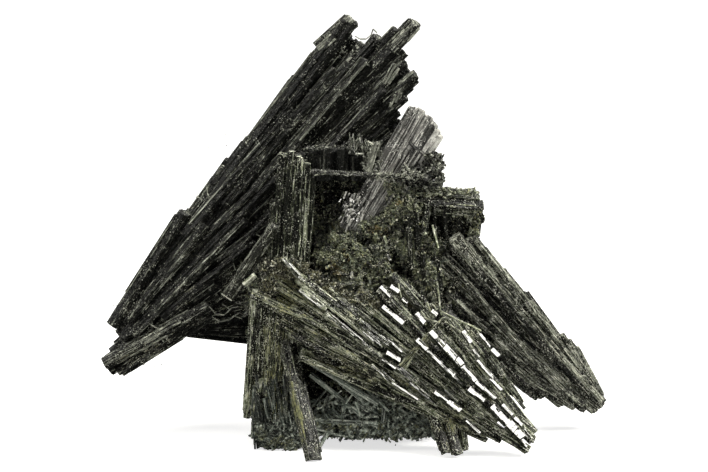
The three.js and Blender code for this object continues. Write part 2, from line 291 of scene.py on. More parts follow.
def crystal(shapes, luck, start, end, wide, roll=None, taper=1.0, flat=1.0, shade=None, dust=0.0, clean=0.0):
    """One crystal of a bundle, from start to end. It is taper times as wide at its start, and flat times
    as thick as it is wide. A shade of 0 is black, 0.75 is grey and 1 is nearly white."""
    return {
        "shape": shapes[luck.integers(len(shapes))],
        "start": start,
        "end": end,
        "wide": wide,
        "roll": luck.uniform(0, 2 * math.pi) if roll is None else roll,
        "taper": taper,
        "flat": flat,
        "slant": luck.uniform(-0.35, 0.35),
        "shade": 0.52 * luck.random() ** 1.3 if shade is None else shade,
        "dust": dust,
        "clean": clean,
    }


def new_piece(name, mesh, material):
    piece = bpy.data.objects.new(name, mesh)
    bpy.context.scene.collection.objects.link(piece)
    mesh.materials.append(material)
    return piece


def finish_bundle(name, crystals, material, slot, *nodes, spots=()):
    """A piece of many crystals. spots are where more dust lies: across, up, radius and how much."""
    finish_piece(new_piece(name, bundle_mesh(name, crystals, spots), material), slot, *nodes)


def linear(hex_colour):
    """An sRGB hex colour as the linear colour that a shader takes."""
    channels = [int(hex_colour[k : k + 2], 16) / 255 for k in (1, 3, 5)]
    return [c / 12.92 if c <= 0.04045 else ((c + 0.055) / 1.055) ** 2.4 for c in channels] + [1.0]


def add(tree, kind, settings, **inputs):
    """A node with its settings. An input, its spaces written as _, takes a value or another's output. The
    setting "stops" fills a colour ramp, each with a place and an sRGB hex colour."""
    made = tree.nodes.new(kind)
    for name, value in settings.items():
        if name != "stops":
            setattr(made, name, value)
            continue
        elements = made.color_ramp.elements
        while len(elements) < len(value):
            elements.new(0.5)
        for element, (place, colour) in zip(elements, value):
            element.position = place
            element.color = linear(colour)
    for name, value in inputs.items():
        socket = made.inputs[int(name[1:])] if name[1:].isdigit() else made.inputs[name.replace("_", " ")]
        if isinstance(value, bpy.types.NodeSocket):
            tree.links.new(value, socket)
        else:
            socket.default_value = value
    return made


def new_material(name):
    material = bpy.data.materials.new(name)
    material.use_nodes = True
    return material, material.node_tree, material.node_tree.nodes["Principled BSDF"]


TOURMALINE_IOR = 1.64
COLOURS = {"data_type": "RGBA"}
NUMBERS = {"data_type": "FLOAT"}
PRODUCT = {"operation": "MULTIPLY"}
SUM_OF_PRODUCT = {"operation": "MULTIPLY_ADD"}
NOISE_ROUGHNESS = 0.65  # how strong each finer layer of a noise is beside the one before
PALE_CRYSTAL = "#d6d6ca"
# The weights add up patterns to a value, and each of these edges turns one to a mask from 0 to 1.
THREAD_EDGE = (1.55, 1.66)
SPECK_EDGE = (0.82, 0.87)
DUST_EDGE = (0.0, 0.2)
DUST_START = -1.72  # the patterns come to about 1.35 on average, so dust lies only where they peak
CLEAN_ROUGH = 0.06
DULL_ROUGH = 0.7


def weighed(tree, start, patterns, edge):
    """Patterns, each times its weight, added to a start value, as 0 below the edge and 1 above it."""
    total = start
    for pattern, weight in patterns:
        total = add(tree, "ShaderNodeMath", SUM_OF_PRODUCT, _0=pattern, _1=weight, _2=total).outputs[0]
    return add(tree, "ShaderNodeMapRange", {}, Value=total, From_Min=edge[0], From_Max=edge[1]).outputs[0]


def schorl(name, black, threads, dust, dust_share, rough, threaded=0.0):
    """Black tourmaline: an iron-rich boron silicate, glassy, ribbed along its length as it grew. Its fine
    ribs show as light broken threads on black faces, laid mostly on the rib ridges as a painted highlight,
    with painted shade, black, in the grooves, and specks of iron oxides sit in its grooves. black, threads
    and dust are colours, dust_share is how much dust lies everywhere, rough is the gloss, and threaded
    adds to or takes from the threads."""
    material, tree, shader = new_material(name)
    look = add(tree, "ShaderNodeAttribute", {"attribute_name": "look"})
    parts = add(tree, "ShaderNodeSeparateColor", {}, Color=look.outputs["Color"])
    shade, dusty, broken = (parts.outputs[k] for k in ("Red", "Green", "Blue"))
    clean = look.outputs["Alpha"]
    place = add(tree, "ShaderNodeTexCoord", {}).outputs["Object"]
    round_and_along = add(tree, "ShaderNodeUVMap", {"uv_map": "mm"}).outputs["UV"]
    # Ribs 0.6 mm apart and 12 mm long, threads 0.3 mm apart and 4.5 mm long, since finer would not show,
    # and growth steps and breaks every 1.4 mm.
    lengthwise = []
    for stretch, detail in (((1.7, 0.08, 1), 3.0), ((3.6, 0.22, 1), 2.0), ((0.8, 0.7, 1), 4.0)):
        stretched = add(tree, "ShaderNodeMapping", {}, Vector=round_and_along, Scale=stretch).outputs[0]
        lengthwise.append(add(tree, "ShaderNodeTexNoise", {"noise_dimensions": "2D"}, Vector=stretched,
                              Scale=1.0, Detail=detail, Roughness=NOISE_ROUGHNESS).outputs["Fac"])
    ribs, fine, breaks = lengthwise
    # Grains of 0.3 mm stuck to the faces, and patches of 3 mm where more of them stick.
    grains, patches = (
        add(tree, "ShaderNodeTexNoise", {}, Vector=place, Scale=scale, Detail=detail,
            Roughness=NOISE_ROUGHNESS).outputs["Fac"]
        for scale, detail in ((3400.0, 2.0), (300.0, 4.0))
    )
    unclean = add(tree, "ShaderNodeMath", {"operation": "SUBTRACT"}, _0=1.0, _1=clean).outputs[0]
    # The colour, lighter from crystal to crystal, with painted shade: black in the grooves between the ribs.
    stops = [(0.0, black[0]), (0.5, black[1]), (0.75, black[2]), (1.0, PALE_CRYSTAL)]
    body = add(tree, "ShaderNodeValToRGB", {"stops": stops}, Fac=shade).outputs["Color"]
    ridges_unshaded = add(tree, "ShaderNodeMapRange", {}, Value=ribs, From_Min=0.4, From_Max=0.52).outputs[0]
    body = add(tree, "ShaderNodeMix", COLOURS, _0=ridges_unshaded, _6=linear(black[0]), _7=body).outputs[2]
    thread_colour, dust_colour = (
        add(tree, "ShaderNodeValToRGB", {"stops": list(zip((0.35, 0.5, 0.65), colours))},
            Fac=breaks).outputs["Color"]
        for colours in (threads, dust)
    )
    # Over it, where a face isn't clean: threads along the backs of the ribs, a painted highlight on their
    # ridges, and on broken ends, bright specks where a chipped grain shows, and dust, where "look" says, in
    # the grooves and on grains.
    for start, patterns, edge, colour in (
        (threaded, ((fine, 1.1), (grains, 0.45), (patches, 0.3), (ribs, 0.75), (dusty, 0.3), (shade, 0.42),
                    (broken, 0.08)), THREAD_EDGE, thread_colour),
        (threaded / 2, ((grains, 1.0), (patches, 0.35), (dusty, 0.12)), SPECK_EDGE, linear(threads[2])),
        (dust_share + DUST_START, ((dusty, 1.0), (patches, 0.9), (fine, 1.2), (grains, 0.6)), DUST_EDGE,
         dust_colour),
    ):
        mask = weighed(tree, start, patterns, edge)
        mask = add(tree, "ShaderNodeMath", PRODUCT, _0=mask, _1=unclean).outputs[0]
        body = add(tree, "ShaderNodeMix", COLOURS, _0=mask, _6=body, _7=colour).outputs[2]
    tree.links.new(body, shader.inputs["Base Color"])
    gloss = add(tree, "ShaderNodeMapRange", {}, Value=breaks, From_Min=0.3, From_Max=0.7, To_Min=rough[0],
                To_Max=rough[1]).outputs[0]
    dull = add(tree, "ShaderNodeMath", {"operation": "MAXIMUM"}, _0=mask, _1=broken).outputs[0]
    gloss = add(tree, "ShaderNodeMix", NUMBERS, _0=dull, _2=gloss, _3=DULL_ROUGH).outputs[0]
    gloss = add(tree, "ShaderNodeMix", NUMBERS, _0=clean, _2=gloss, _3=CLEAN_ROUGH).outputs[0]
    tree.links.new(gloss, shader.inputs["Roughness"])
    # Relief of one or two tenths of a millimetre, less on a clean face.
    height = 0.0
    for pattern, weight in ((ribs, 1.6), (fine, 0.8), (breaks, 0.5), (grains, 0.5)):
        height = add(tree, "ShaderNodeMath", SUM_OF_PRODUCT, _0=pattern, _1=weight, _2=height).outputs[0]
    strength = add(tree, "ShaderNodeMapRange", {}, Value=clean, To_Min=1.0, To_Max=0.1)
    bump = add(tree, "ShaderNodeBump", {}, Height=height, Distance=0.25 * MM, Strength=strength.outputs[0])
    tree.links.new(bump.outputs[0], shader.inputs["Normal"])
    shader.inputs["IOR"].default_value = TOURMALINE_IOR
    return material


# The painted shade of the druse's pits and the painted glint on its grains.
PAINTED_PIT_SHADE = "#070806"
PAINTED_GLINT = "#c4c3ae"


def druse_material(name, stains_seen, bare_seen):
    """Druse: a crust of tourmaline grains under films of limonite, which give it its olive and rusty spots.
    It is dull, with painted glints on the highest grains and painted shade, black, in its hollows and
    between its grains. The colours are those of the stains, as stops of a ramp, and of bare grains."""
    material, tree, shader = new_material(name)
    look = add(tree, "ShaderNodeAttribute", {"attribute_name": "look"})
    parts = add(tree, "ShaderNodeSeparateColor", {}, Color=look.outputs["Color"])
    shade, dusty = parts.outputs["Red"], parts.outputs["Green"]
    place = add(tree, "ShaderNodeTexCoord", {}).outputs["Object"]
    # Stains 4 mm across, grains of 0.3 mm, and a 1 mm pattern for where painted shade darkens hollows.
    stains, grains, hollows = (
        add(tree, "ShaderNodeTexNoise", {}, Vector=place, Scale=scale, Detail=detail,
            Roughness=NOISE_ROUGHNESS).outputs["Fac"]
        for scale, detail in ((260.0, 6.0), (3200.0, 2.0), (900.0, 2.0))
    )
    stain = add(tree, "ShaderNodeValToRGB", {"stops": stains_seen}, Fac=stains).outputs["Color"]
    bare = add(tree, "ShaderNodeValToRGB", {"stops": bare_seen}, Fac=shade).outputs["Color"]
    amount = weighed(tree, -0.85, ((dusty, 1.0), (grains, 1.9)), (0.0, 0.5))
    colour = add(tree, "ShaderNodeMix", COLOURS, _0=amount, _6=bare, _7=stain).outputs[2]
    # Painted shade, black, in the hollows and between the grains, and painted glints on the highest grains.
    pit_shade = weighed(tree, 0.0, ((grains, 0.6), (hollows, 1.0)), (0.69, 0.79))
    colour = add(tree, "ShaderNodeMix", COLOURS, _0=pit_shade, _6=linear(PAINTED_PIT_SHADE), _7=colour).outputs[2]
    glints_painted = weighed(tree, 0.0, ((grains, 1.0), (shade, 0.08)), (0.62, 0.66))
    colour = add(tree, "ShaderNodeMix", COLOURS, _0=glints_painted, _6=colour, _7=linear(PAINTED_GLINT)).outputs[2]
    tree.links.new(colour, shader.inputs["Base Color"])
    gloss = add(tree, "ShaderNodeMapRange", {}, Value=amount, To_Min=0.15, To_Max=0.8)
    tree.links.new(gloss.outputs[0], shader.inputs["Roughness"])
    bump = add(tree, "ShaderNodeBump", {}, Height=grains, Distance=0.2 * MM, Strength=1.0)
    tree.links.new(bump.outputs[0], shader.inputs["Normal"])
    shader.inputs["IOR"].default_value = TOURMALINE_IOR
    return material


def scatter(mesh, luck, count):
    """Places on a mesh, in mm, spread evenly over it, each with the mesh's outward direction there."""
    mesh.calc_loop_triangles()
    corners = np.zeros(len(mesh.loop_triangles) * 3, int)
    mesh.loop_triangles.foreach_get("vertices", corners)
    points = np.zeros(len(mesh.vertices) * 3)
    mesh.vertices.foreach_get("co", points)
    triangles = (points.reshape(-1, 3) / MM)[corners.reshape(-1, 3)]
    outward = np.cross(triangles[:, 1] - triangles[:, 0], triangles[:, 2] - triangles[:, 0])
    area = np.linalg.norm(outward, axis=1)
    picked = luck.choice(len(area), count, p=area / area.sum())
    shares = luck.dirichlet((1, 1, 1), count)
    return np.einsum("nk,nkx->nx", shares, triangles[picked]), outward[picked] / area[picked, None]


def druse_grains(mesh, luck, count):
    """Short crystals that stand on the core every way, in tufts: thick ones few, thin ones many."""
    grains = []
    for place, outward in zip(*scatter(mesh, luck, count)):
        if place[2] < 1.2 and outward[2] < 0:
            continue
        size = 0.28 + 0.8 * luck.random() ** 3
        lean = unit(outward * 0.8 + luck.normal(size=3) * 0.75)
        long = size * luck.uniform(0.8, 2.4)
        clump = noise.noise(Vector(place / 1.6))
        grains.append(
            crystal(GRAIN, luck, place - lean * 0.4, place + lean * long, size,
                    shade=0.9 * luck.random() ** 2.5, dust=0.12 + 1.2 * clump)
        )
    return grains


CORE_GRAINS = 10000
luck = np.random.default_rng(7)
core = core_mesh()
roughen_core(core)
DRUSE = druse_material(
    "limonite-stained druse",
    [(0.3, "#1a1e1b"), (0.42, "#4b534a"), (0.5, "#7e835f"), (0.56, "#5e685d"), (0.62, "#8e8c5c"),
     (0.66, "#7c602e"), (0.7, "#a0a68f")],
    [(0.0, "#060706"), (0.5, "#20211d"), (0.85, "#6b6d62"), (1.0, "#c8c9ba")],
)
finish_piece(new_piece("core_lump", core, DRUSE), "druse", "drusy_core")
finish_bundle("core_druse", druse_grains(core, luck, CORE_GRAINS), DRUSE, "druse")


# Mounds of druse on the front of the core: across, up and radius of each, and its grains.
MOUNDS = [
    (-3, 39.8, 2.6, 420),
    (1.2, 36.2, 2.8, 460),
    (-6, 36.6, 1.8, 200),
    (4.6, 43, 2.2, 260),
    (10, 38.6, 2.4, 360),
    (13.4, 34.6, 2.4, 340),
    (6.6, 34.4, 1.6, 160),
    (9.6, 31.4, 1.8, 200),
    (-7.4, 42.6, 1.6, 160),
]


def mound_grains(mesh, luck, mounds):
    """Grains heaped up on a mesh, as it is met from the front."""
    points = [vert.co for vert in mesh.vertices]
    surface = BVHTree.FromPolygons(points, [face.vertices for face in mesh.polygons])
    ahead = Vector(TOWARDS_FRONT)
    grains = []
    for across, up, radius, count in mounds:
        for _ in range(count):
            aside, above = luck.normal(size=2) * 0.45 * radius
            far = Vector(at(across + aside, up + above, -60)) * MM
            met = surface.ray_cast(far, -ahead)[0]
            if met is None:
                continue
            heap = 0.45 * radius * max(0.0, 1 - (aside * aside + above * above) / (radius * radius))
            place = np.array(met) / MM + TOWARDS_FRONT * heap * luck.random() ** 0.3
            size = 0.22 + 0.4 * luck.random() ** 2
            lean = unit(luck.normal(size=3) + TOWARDS_FRONT * 0.5) * size * luck.uniform(0.7, 1.5)
            grains.append(crystal(GRAIN, luck, place - lean / 2, place + lean, size,
                                  shade=luck.random() ** 2, dust=luck.uniform(0.4, 1.4)))
    return grains


finish_bundle("core_mounds", mound_grains(core, luck, MOUNDS), DRUSE, "druse")


# ---------------------------------------------------------------- the left spray
# The big fan of near-black prisms. Each prism is a bundle of thinner ones that grew side by side and
# broke off at different lengths, so that it is ribbed and its end is stepped. They are grown together.

# "tip" is where the fan comes together, across and up on the front sheet. "root" is how deep its middle
# lies there and how thick half the fan is, and "end" is the same at its reach. A row is a front crystal:
# across and up of its root, across and up of its end, its width, and how far it stands forward (or 0).
LEFT_SPRAY = {
    "tip": (-49, 19),
    "reach": 85,
    "root": (3, 2.4),
    "end": (8, 5.6),
    "taper": 0.85,
    "rows": [
        (-45, 15, -22.8, 30.2, 1.8),
        (-50, 14.6, -18.4, 36.8, 2.4),
        (-49.6, 16, -14.8, 42, 2.6),
        (-48.6, 17.6, 8.8, 65.6, 2.4),
        (-47.6, 18.8, 12.2, 72, 3.2),
        (-34.8, 30.6, 10, 75.6, 2.4),
        (-46.4, 20.6, -10.8, 57.6, 3.6, 1.2),
        (-47.4, 22.2, 12, 83.2, 3.8),
        (-40.8, 29.6, 8.2, 82, 2.2),
        (-36.6, 35, 4.4, 80, 2.4, 0.6),
        (-32.6, 39.4, 1.2, 78, 2.2),
        (-47.2, 22.8, -0.7, 83.4, 4, 0.5),
        (-42.8, 30.6, -4, 81.6, 2.8),
        (-37.8, 37, -6.3, 78.2, 2, 0.5),
        (-39.8, 33.9, -11.7, 72.6, 2),
        (-46.4, 25.4, -19, 62.8, 1.8),
        (-42.8, 31.3, -25.4, 55.8, 1.8),
        (-47.4, 24.2, -31.8, 46.8, 1.8),
        (-48, 23, -34.5, 45.2, 2.4),
    ],
}
THIN_EDGE = 0.8  # how much a fan thins towards its first and last row
BACK_LAYERS = (-0.4, 0.15, 0.6, 1.0)  # the layers behind the front one, from -1 at the front to 1


def in_spray(spray, across, up, place, side, forward=0.0):
    """A point of a spray. Its middle and its thickness change with the distance from its tip."""
    out = math.hypot(across - spray["tip"][0], up - spray["tip"][1]) / spray["reach"]
    middle, half = (root + (end - root) * out for root, end in zip(spray["root"], spray["end"]))
    edge = 2 * place / (len(spray["rows"]) - 1) - 1
    depth = middle + side * half * math.sqrt(max(0.0, 1 - THIN_EDGE * edge * edge))
    return at(across, up, depth - forward)


def spray_span(spray, place, side, forward=0.0):
    """Where a crystal at any place between the rows starts and ends, and how wide it is."""
    low = spray["rows"][int(place)]
    high = spray["rows"][min(int(place) + 1, len(spray["rows"]) - 1)]
    share = place - int(place)
    across0, up0, across1, up1, wide = (a + (b - a) * share for a, b in zip(low[:5], high[:5]))
    start = in_spray(spray, across0, up0, place, side, forward)
    return start, in_spray(spray, across1, up1, place, side, forward), wide


def part_of(start, end, first, last):
    return start + (end - start) * first, start + (end - start) * last


def ribs_on(main, luck, per_mm, dust):
    """Thin crystals grown onto a thick one, half sunk in its faces, that stop short of its ends."""
    along = unit(main["end"] - main["start"])
    aside = unit(np.cross(along, TOWARDS_FRONT))
    other = np.cross(along, aside)
    ribs = []
    for _ in range(int(main["wide"] * per_mm + luck.random())):
        angle = luck.uniform(0, 2 * math.pi)
        out = aside * math.cos(angle + main["roll"]) + other * math.sin(angle + main["roll"])
        thin = main["wide"] * luck.uniform(0.12, 0.36)
        reach = section_radius(angle) * main["wide"] - thin * 0.25
        first, last = luck.uniform(0, 0.7) ** 2, 1 - luck.uniform(0, 0.75) ** 2.5
        swell = [main["taper"] + (1 - main["taper"]) * share for share in (first, last)]
        start, end = part_of(main["start"], main["end"], first, last)
        ribs.append(
            crystal(SLIM, luck, start + out * reach * swell[0], end + out * reach * swell[1],
                    thin * swell[1], taper=swell[0] / swell[1], dust=dust,
                    shade=min(main["shade"] * luck.uniform(0.1, 1.9), 0.7))
        )
    return ribs


def edge_highlight(main, luck, outward, count, light):
    """Thin light needles along the edge of a crystal that faces outward, toward a lamp: a painted highlight
    on that edge.
    """
    along = unit(main["end"] - main["start"])
    lit_needles = []
    for _ in range(count):
        out = outward + luck.normal(size=3) * 0.12
        out = unit(out - along * (out @ along))
        first = luck.uniform(0, 0.85)
        start, end = part_of(main["start"], main["end"], first, min(first + luck.uniform(0.05, 0.4), 1))
        reach = out * main["wide"] * 0.47
        lit_needles.append(crystal(NEEDLE, luck, start + reach, end + reach, luck.uniform(0.16, 0.3),
                                 shade=light * luck.uniform(0.6, 1), dust=main["dust"]))
    return lit_needles


def specks_on(crystals, luck, count, light, coarse=0.25):
    """Crumbs of broken crystal, 0.15 mm across and up to coarse more, stuck all over the crystals."""
    wide = np.array([one["wide"] for one in crystals])
    specks = []
    for index in luck.choice(len(crystals), count, p=wide / wide.sum()):
        one = crystals[index]
        along = unit(one["end"] - one["start"])
        aside = unit(np.cross(along, TOWARDS_FRONT))
        angle = luck.uniform(0, 2 * math.pi)
        out = aside * math.cos(angle) + np.cross(along, aside) * math.sin(angle)
        share = luck.random()
        reach = one["wide"] * 0.42 * (one["taper"] + (1 - one["taper"]) * share)
        place = one["start"] + (one["end"] - one["start"]) * share + out * reach
        if noise.noise(Vector(place / 4)) < luck.uniform(-0.3, 0.2):
            continue
        size = 0.15 + coarse * luck.random() ** 2
        lie = unit(luck.normal(size=3)) * size
        bright = luck.random() < 0.3
        specks.append(crystal(CRUMB, luck, place - lie / 2, place + lie / 2, size,
                              shade=light * luck.uniform(0.7, 1) if bright else 0.3 * luck.random(),
                              dust=0.3 * luck.random()))
    return specks


def broken_on(spray, luck, count, dust=0.0, lit_side=None):
    """Broken lengths of crystal that lie along the front of a spray, and stand a little out of it."""
    last = len(spray["rows"]) - 1
    pieces = []
    for _ in range(count):
        start, end, wide = spray_span(spray, luck.uniform(0, last), -1, luck.uniform(0, 0.9))
        first = luck.random() * 0.9
        start, end = part_of(start, end, first, min(first + luck.uniform(0.05, 0.3), 1))
        main = crystal(BROAD, luck, start, end, wide * luck.uniform(0.3, 0.65), dust=dust)
        pieces += [main, *ribs_on(main, luck, 2.5, dust)]
        if lit_side is not None:
            pieces += edge_highlight(main, luck, lit_side, 2, 0.85)
    return pieces


def placed(shapes, luck, spray, rows, **looks):
    """Crystals set one by one on the front of a spray: across and up of both ends, the width, the row whose
    depth it takes, how far it stands forward, and its shade."""
    return [
        crystal(shapes, luck, in_spray(spray, across0, up0, place, -1, forward),
                in_spray(spray, across1, up1, place, -1, forward), wide, shade=shade, **looks)
        for across0, up0, across1, up1, wide, place, forward, shade in rows
    ]


def hair(luck, points, wide, shade):
    """A curled hair of tourmaline through the points, as short straight needles."""
    return [crystal(NEEDLE, luck, start, end, wide, shade=shade) for start, end in zip(points, points[1:])]


def dressed_spray(spray, luck, ribs=4.5, between=3, dust=0.0, lit_side=None):
    """All the crystals of a spray: its front rows as given, thinner ones between them, painted darker as
    shade in the gaps between the rows, and its layers. The last argument is the way that the front rows' lit
    edges face, where a painted highlight goes, if they have any."""
    last = len(spray["rows"]) - 1
    crystals = []
    for place, row in enumerate(spray["rows"]):
        forward = luck.uniform(-0.3, 0.4) + (row[5] if len(row) > 5 else 0.0)
        start, end, wide = spray_span(spray, place, -1, forward)
        main = crystal(BROAD, luck, start, end, wide * 0.88, taper=spray["taper"], dust=dust)
        crystals += [main, *ribs_on(main, luck, ribs, dust)]
        if lit_side is not None:
            crystals += edge_highlight(main, luck, lit_side, 5, 0.8)
    # The crystals between the rows are darker: painted shade in the gaps.
    for place in range(last):
        for _ in range(between):
            start, end, wide = spray_span(spray, place + luck.uniform(0.15, 0.85), luck.uniform(-0.95, -0.45))
            start, end = part_of(start, end, luck.uniform(0, 0.35), 1 - luck.uniform(0.01, 0.35) ** 1.8)
            main = crystal(BROAD, luck, start, end, wide * luck.uniform(0.3, 0.8),
                           taper=spray["taper"], dust=dust, shade=0.35 * luck.random() ** 2)
            crystals += [main, *ribs_on(main, luck, ribs * 0.5, dust)]
            if lit_side is not None:
                crystals += edge_highlight(main, luck, lit_side, 2, 0.7)
    for side in BACK_LAYERS:
        for place in range(last + 1):
            spot = min(max(place + luck.uniform(-0.6, 0.6), 0), last)
            start, end, wide = spray_span(spray, spot, side)
            start, end = part_of(start, end, luck.uniform(0, 0.2), 1 - luck.uniform(0, 0.35) ** 2)
            main = crystal(BROAD, luck, start, end, wide * luck.uniform(0.8, 1.25),
                           taper=spray["taper"], dust=dust)
            crystals += [main, *(ribs_on(main, luck, ribs, dust) if side == 1 else ())]
    return crystals


BLACK_SCHORL = schorl("black schorl, glassy", black=("#040504", "#191a17", "#8c8e84"),
                      threads=("#50534a", "#8e9184", "#d0d2c4"),
                      dust=("#2a2b22", "#55553f", "#8a8466"), dust_share=-0.05, rough=(0.1, 0.34),
                      threaded=-0.04)
# The blocks that end the fan at the top and their broken faces, painted light partly as paler broken
# stone and partly as a painted highlight where they face the light, the prisms that fill it up to them,
# and the thick blunt prisms of its tip. Each as placed() takes them.
LEFT_BLOCKS = [
    (-7.2, 78.2, -0.8, 84, 3, 11.5, 0.5, 0.55),
    (-4.8, 79.2, 0.4, 83.2, 1.6, 11, 0.9, 0.45),
    (7.6, 78, 12, 83, 3.4, 7, 0.5, 0.5),
    (8.2, 69.6, 12.2, 73, 2.6, 4, 0.6, 0.48),
    (6, 71.2, 8, 75, 1.1, 5.5, 1.2, 0.66),
    (6.9, 71.2, 8.9, 74.2, 0.7, 5, 1.4, 0.7),
    (8.4, 67.4, 10, 71.2, 1.1, 4, 1.2, 0.64),
    (7.2, 66.6, 8.2, 69, 0.8, 4, 1.4, 0.7),
    (-5.2, 78.8, -3.8, 80, 0.8, 12, 1.8, 0.8),
    (-1.4, 75.6, -0.5, 76.4, 0.6, 10, 1.6, 0.85),
    (-31.2, 46.4, -27.8, 50.2, 1.2, 15, 0.7, 0.62),
    (-27, 42, -23.4, 46.4, 1.2, 12, 1.1, 0.55),
    (-43, 29, -39.8, 32.6, 1.3, 12, 0.9, 0.5),
]
LEFT_FILL = [
    (-22, 45, 10, 77.4, 2.4, 6, -0.3, 0.3),
    (-22, 44, 9, 73.6, 2.4, 5.3, -0.2, 0.15),
    (-22, 42, 9.4, 71.2, 2.4, 4.6, -0.2, 0.35),
    (-22, 40, 8.4, 68.4, 2.4, 3.6, -0.2, 0.1),
    (-26, 38, 8, 64.6, 2.6, 2.8, -0.2, 0.25),
    (-28, 34, 7.4, 61.8, 2.6, 2.4, -0.1, 0.1),
    (-28, 32, 6.2, 59, 2.6, 2, -0.1, 0.2),
    (-28, 31, 4, 55.6, 2.6, 1.6, 0, 0.1),
    (-24, 46, 4.6, 80.6, 2.6, 9, -0.2, 0.2),
    (-24, 47, 1.4, 79, 2.6, 10, -0.2, 0.3),
    (-26, 50, -6, 78.6, 2.2, 12.5, 0.1, 0.4),
    (-49.4, 14.2, -30, 26.4, 3.4, 2, -0.6, 0.2),
    (-47, 13.8, -29, 25, 3, 0.6, -0.5, 0.3),
    (-48.4, 15.8, -27, 31, 2.6, 3, 0, 0.25),
    (-46.8, 20.6, -28, 40, 3.2, 8, 0.1, 0.3),
    (-47.6, 22.6, -30, 44, 2.8, 12, 0.3, 0.2),
    (-20, 36, 9.6, 63.4, 2.6, 1.8, -0.2, 0.15),
]
# The thick prisms that stand out of its lower end, with black gaps between them.
LEFT_RODS = [
    (-48.4, 22.8, -33.8, 45.4, 3.0, 12, 1.1, 0.12),
    (-45.3, 23.7, -29.8, 43.2, 2.4, 9, 1.7, 0.25),
    (-44.4, 21.2, -21.8, 44, 2.6, 7, 1.5, 0.32),
    (-38.6, 24.6, -20, 39.6, 2.2, 5, 1.3, 0.1),
    (-50.2, 15.3, -29.4, 26.8, 3.0, 3, 1.3, 0.3),
    (-47.5, 13.5, -30.7, 25, 2.2, 1.4, 1.1, 0.22),
    (-27.6, 35.9, -15.2, 45, 1.6, 5, 1.6, 0.35),
    (-24.6, 36.6, -13, 49.4, 1.4, 6, 1.6, 0.15),
    (-34, 41, -12, 66, 2.2, 11, 1.5, 0.14),
    (-30, 40, -10, 60, 1.8, 8, 1.5, 0.3),
    (-26, 47, -4, 74, 2.2, 11, 1.4, 0.2),
    (-20, 50, 2, 76, 2, 9, 1.4, 0.32),
    (-16, 46, 6, 70, 1.8, 6, 1.3, 0.12),
]
luck = np.random.default_rng(11)
# The way that the left fan's lit edges face, toward the left lamp, where a painted highlight goes.
UPPER_LEFT = np.array([-0.7, -0.45, 0.6])
PALE_FROM = 0.55  # a shade from which a crystal counts as pale, and keeps it
LEFT_DARKER = 0.6
HAIR_ROW, HAIR_FORWARD = 9, 1.6  # the row whose depth its hairs take, and how far they stand forward
left = dressed_spray(LEFT_SPRAY, luck, ribs=3.5, between=4, lit_side=UPPER_LEFT)
# Painted shade: the fan's own crystals, below the thick prisms placed in front of them, are made darker so
# that the gaps between those read as shade. Pale ones stay as they are.
for one in left:
    if one["shade"] < PALE_FROM:
        one["shade"] *= LEFT_DARKER
for main in placed(BROAD, luck, LEFT_SPRAY, LEFT_BLOCKS + LEFT_FILL + LEFT_RODS):
    left += [main, *ribs_on(main, luck, 4, 0.1), *edge_highlight(main, luck, UPPER_LEFT, 4, 0.85)]
left += broken_on(LEFT_SPRAY, luck, count=110, lit_side=UPPER_LEFT)
left += specks_on(left, luck, count=2600, light=0.95)
# A wiry hair bridges the notch between the two highest blocks, and a few lie across the fan.
LEFT_HAIRS = [
    [(0.2, 80.6), (1.2, 80), (2.4, 80), (3.4, 80.8), (3.8, 82), (4.6, 81.2)],
    [(-29.4, 50.6), (-29.2, 49.2), (-28.8, 47.6)],
    [(-14.4, 50), (-13.8, 51.4), (-13.6, 52.4)],
    [(-20.4, 42.4), (-19.4, 41), (-18.8, 40.8)],
    [(-25.2, 38), (-24.4, 36), (-23.8, 34)],
    [(-41.6, 23.6), (-40, 22.6), (-38.8, 22.2)],
]
for points in LEFT_HAIRS:
    path = [in_spray(LEFT_SPRAY, *point, HAIR_ROW, -1, HAIR_FORWARD) for point in points]
    left += hair(luck, path, 0.35, 0.8)
# Patches of light crumbs: across, up, radius, how many, the row whose depth they take and how far forward.
LEFT_CRUMBS = [
    (-29.4, 48, 1.1, 90, 13, 1.6),
    (-28.6, 45.6, 0.9, 50, 12, 1.6),
    (-44.6, 27, 1.6, 60, 10, 2),
    (-39.4, 21.8, 1.5, 70, 3, 1.9),
    (-42, 18.6, 1.8, 50, 2, 1.7),
    (-9.4, 66, 2.4, 60, 9, 1.7),
    (-2, 77.4, 1.6, 50, 10, 1.7),
    (-22, 58, 2.4, 50, 11, 1.7),
    (-18, 47, 2, 50, 6, 1.7),
    (-8, 58, 2.4, 50, 6, 1.7),
]
for across, up, radius, count, place, forward in LEFT_CRUMBS:
    for _ in range(count):
        aside, above = luck.normal(size=2) * radius
        spot = in_spray(LEFT_SPRAY, across + aside, up + above, place, -1, forward - 1.2 * luck.random())
        left.append(crystal(CRUMB, luck, spot, spot + luck.normal(size=3) * 0.2, luck.uniform(0.15, 0.35),
                            shade=luck.uniform(0.55, 1)))
left_dust = [(-17, 37, 6, 0.12), (-36, 30, 5, 0.15), (-44, 16, 6, 0.25)]
finish_bundle("left_crystals", left, BLACK_SCHORL, "black_tourmaline", "left_spray", spots=left_dust)

# ---------------------------------------------------------------- the back of the core
# Black prisms on the side away from the sprays, where the druse had room: short ones that lie half sunk in
# it every way, and sheaves of longer ones that grew side by side.

# The way that the lit edges of the back's sheaves face, upward, where a painted highlight goes.
UPPER_BACK = np.array([0.1, 0.6, 0.7])
BACK = 17.8  # mm behind the cluster's middle, as far as the druse reaches
SUNK_COUNT = 110
SHEAF_COUNT = 56
SHEAVES_FROM, SHEAVES_TO = 8, 44  # mm above the floor


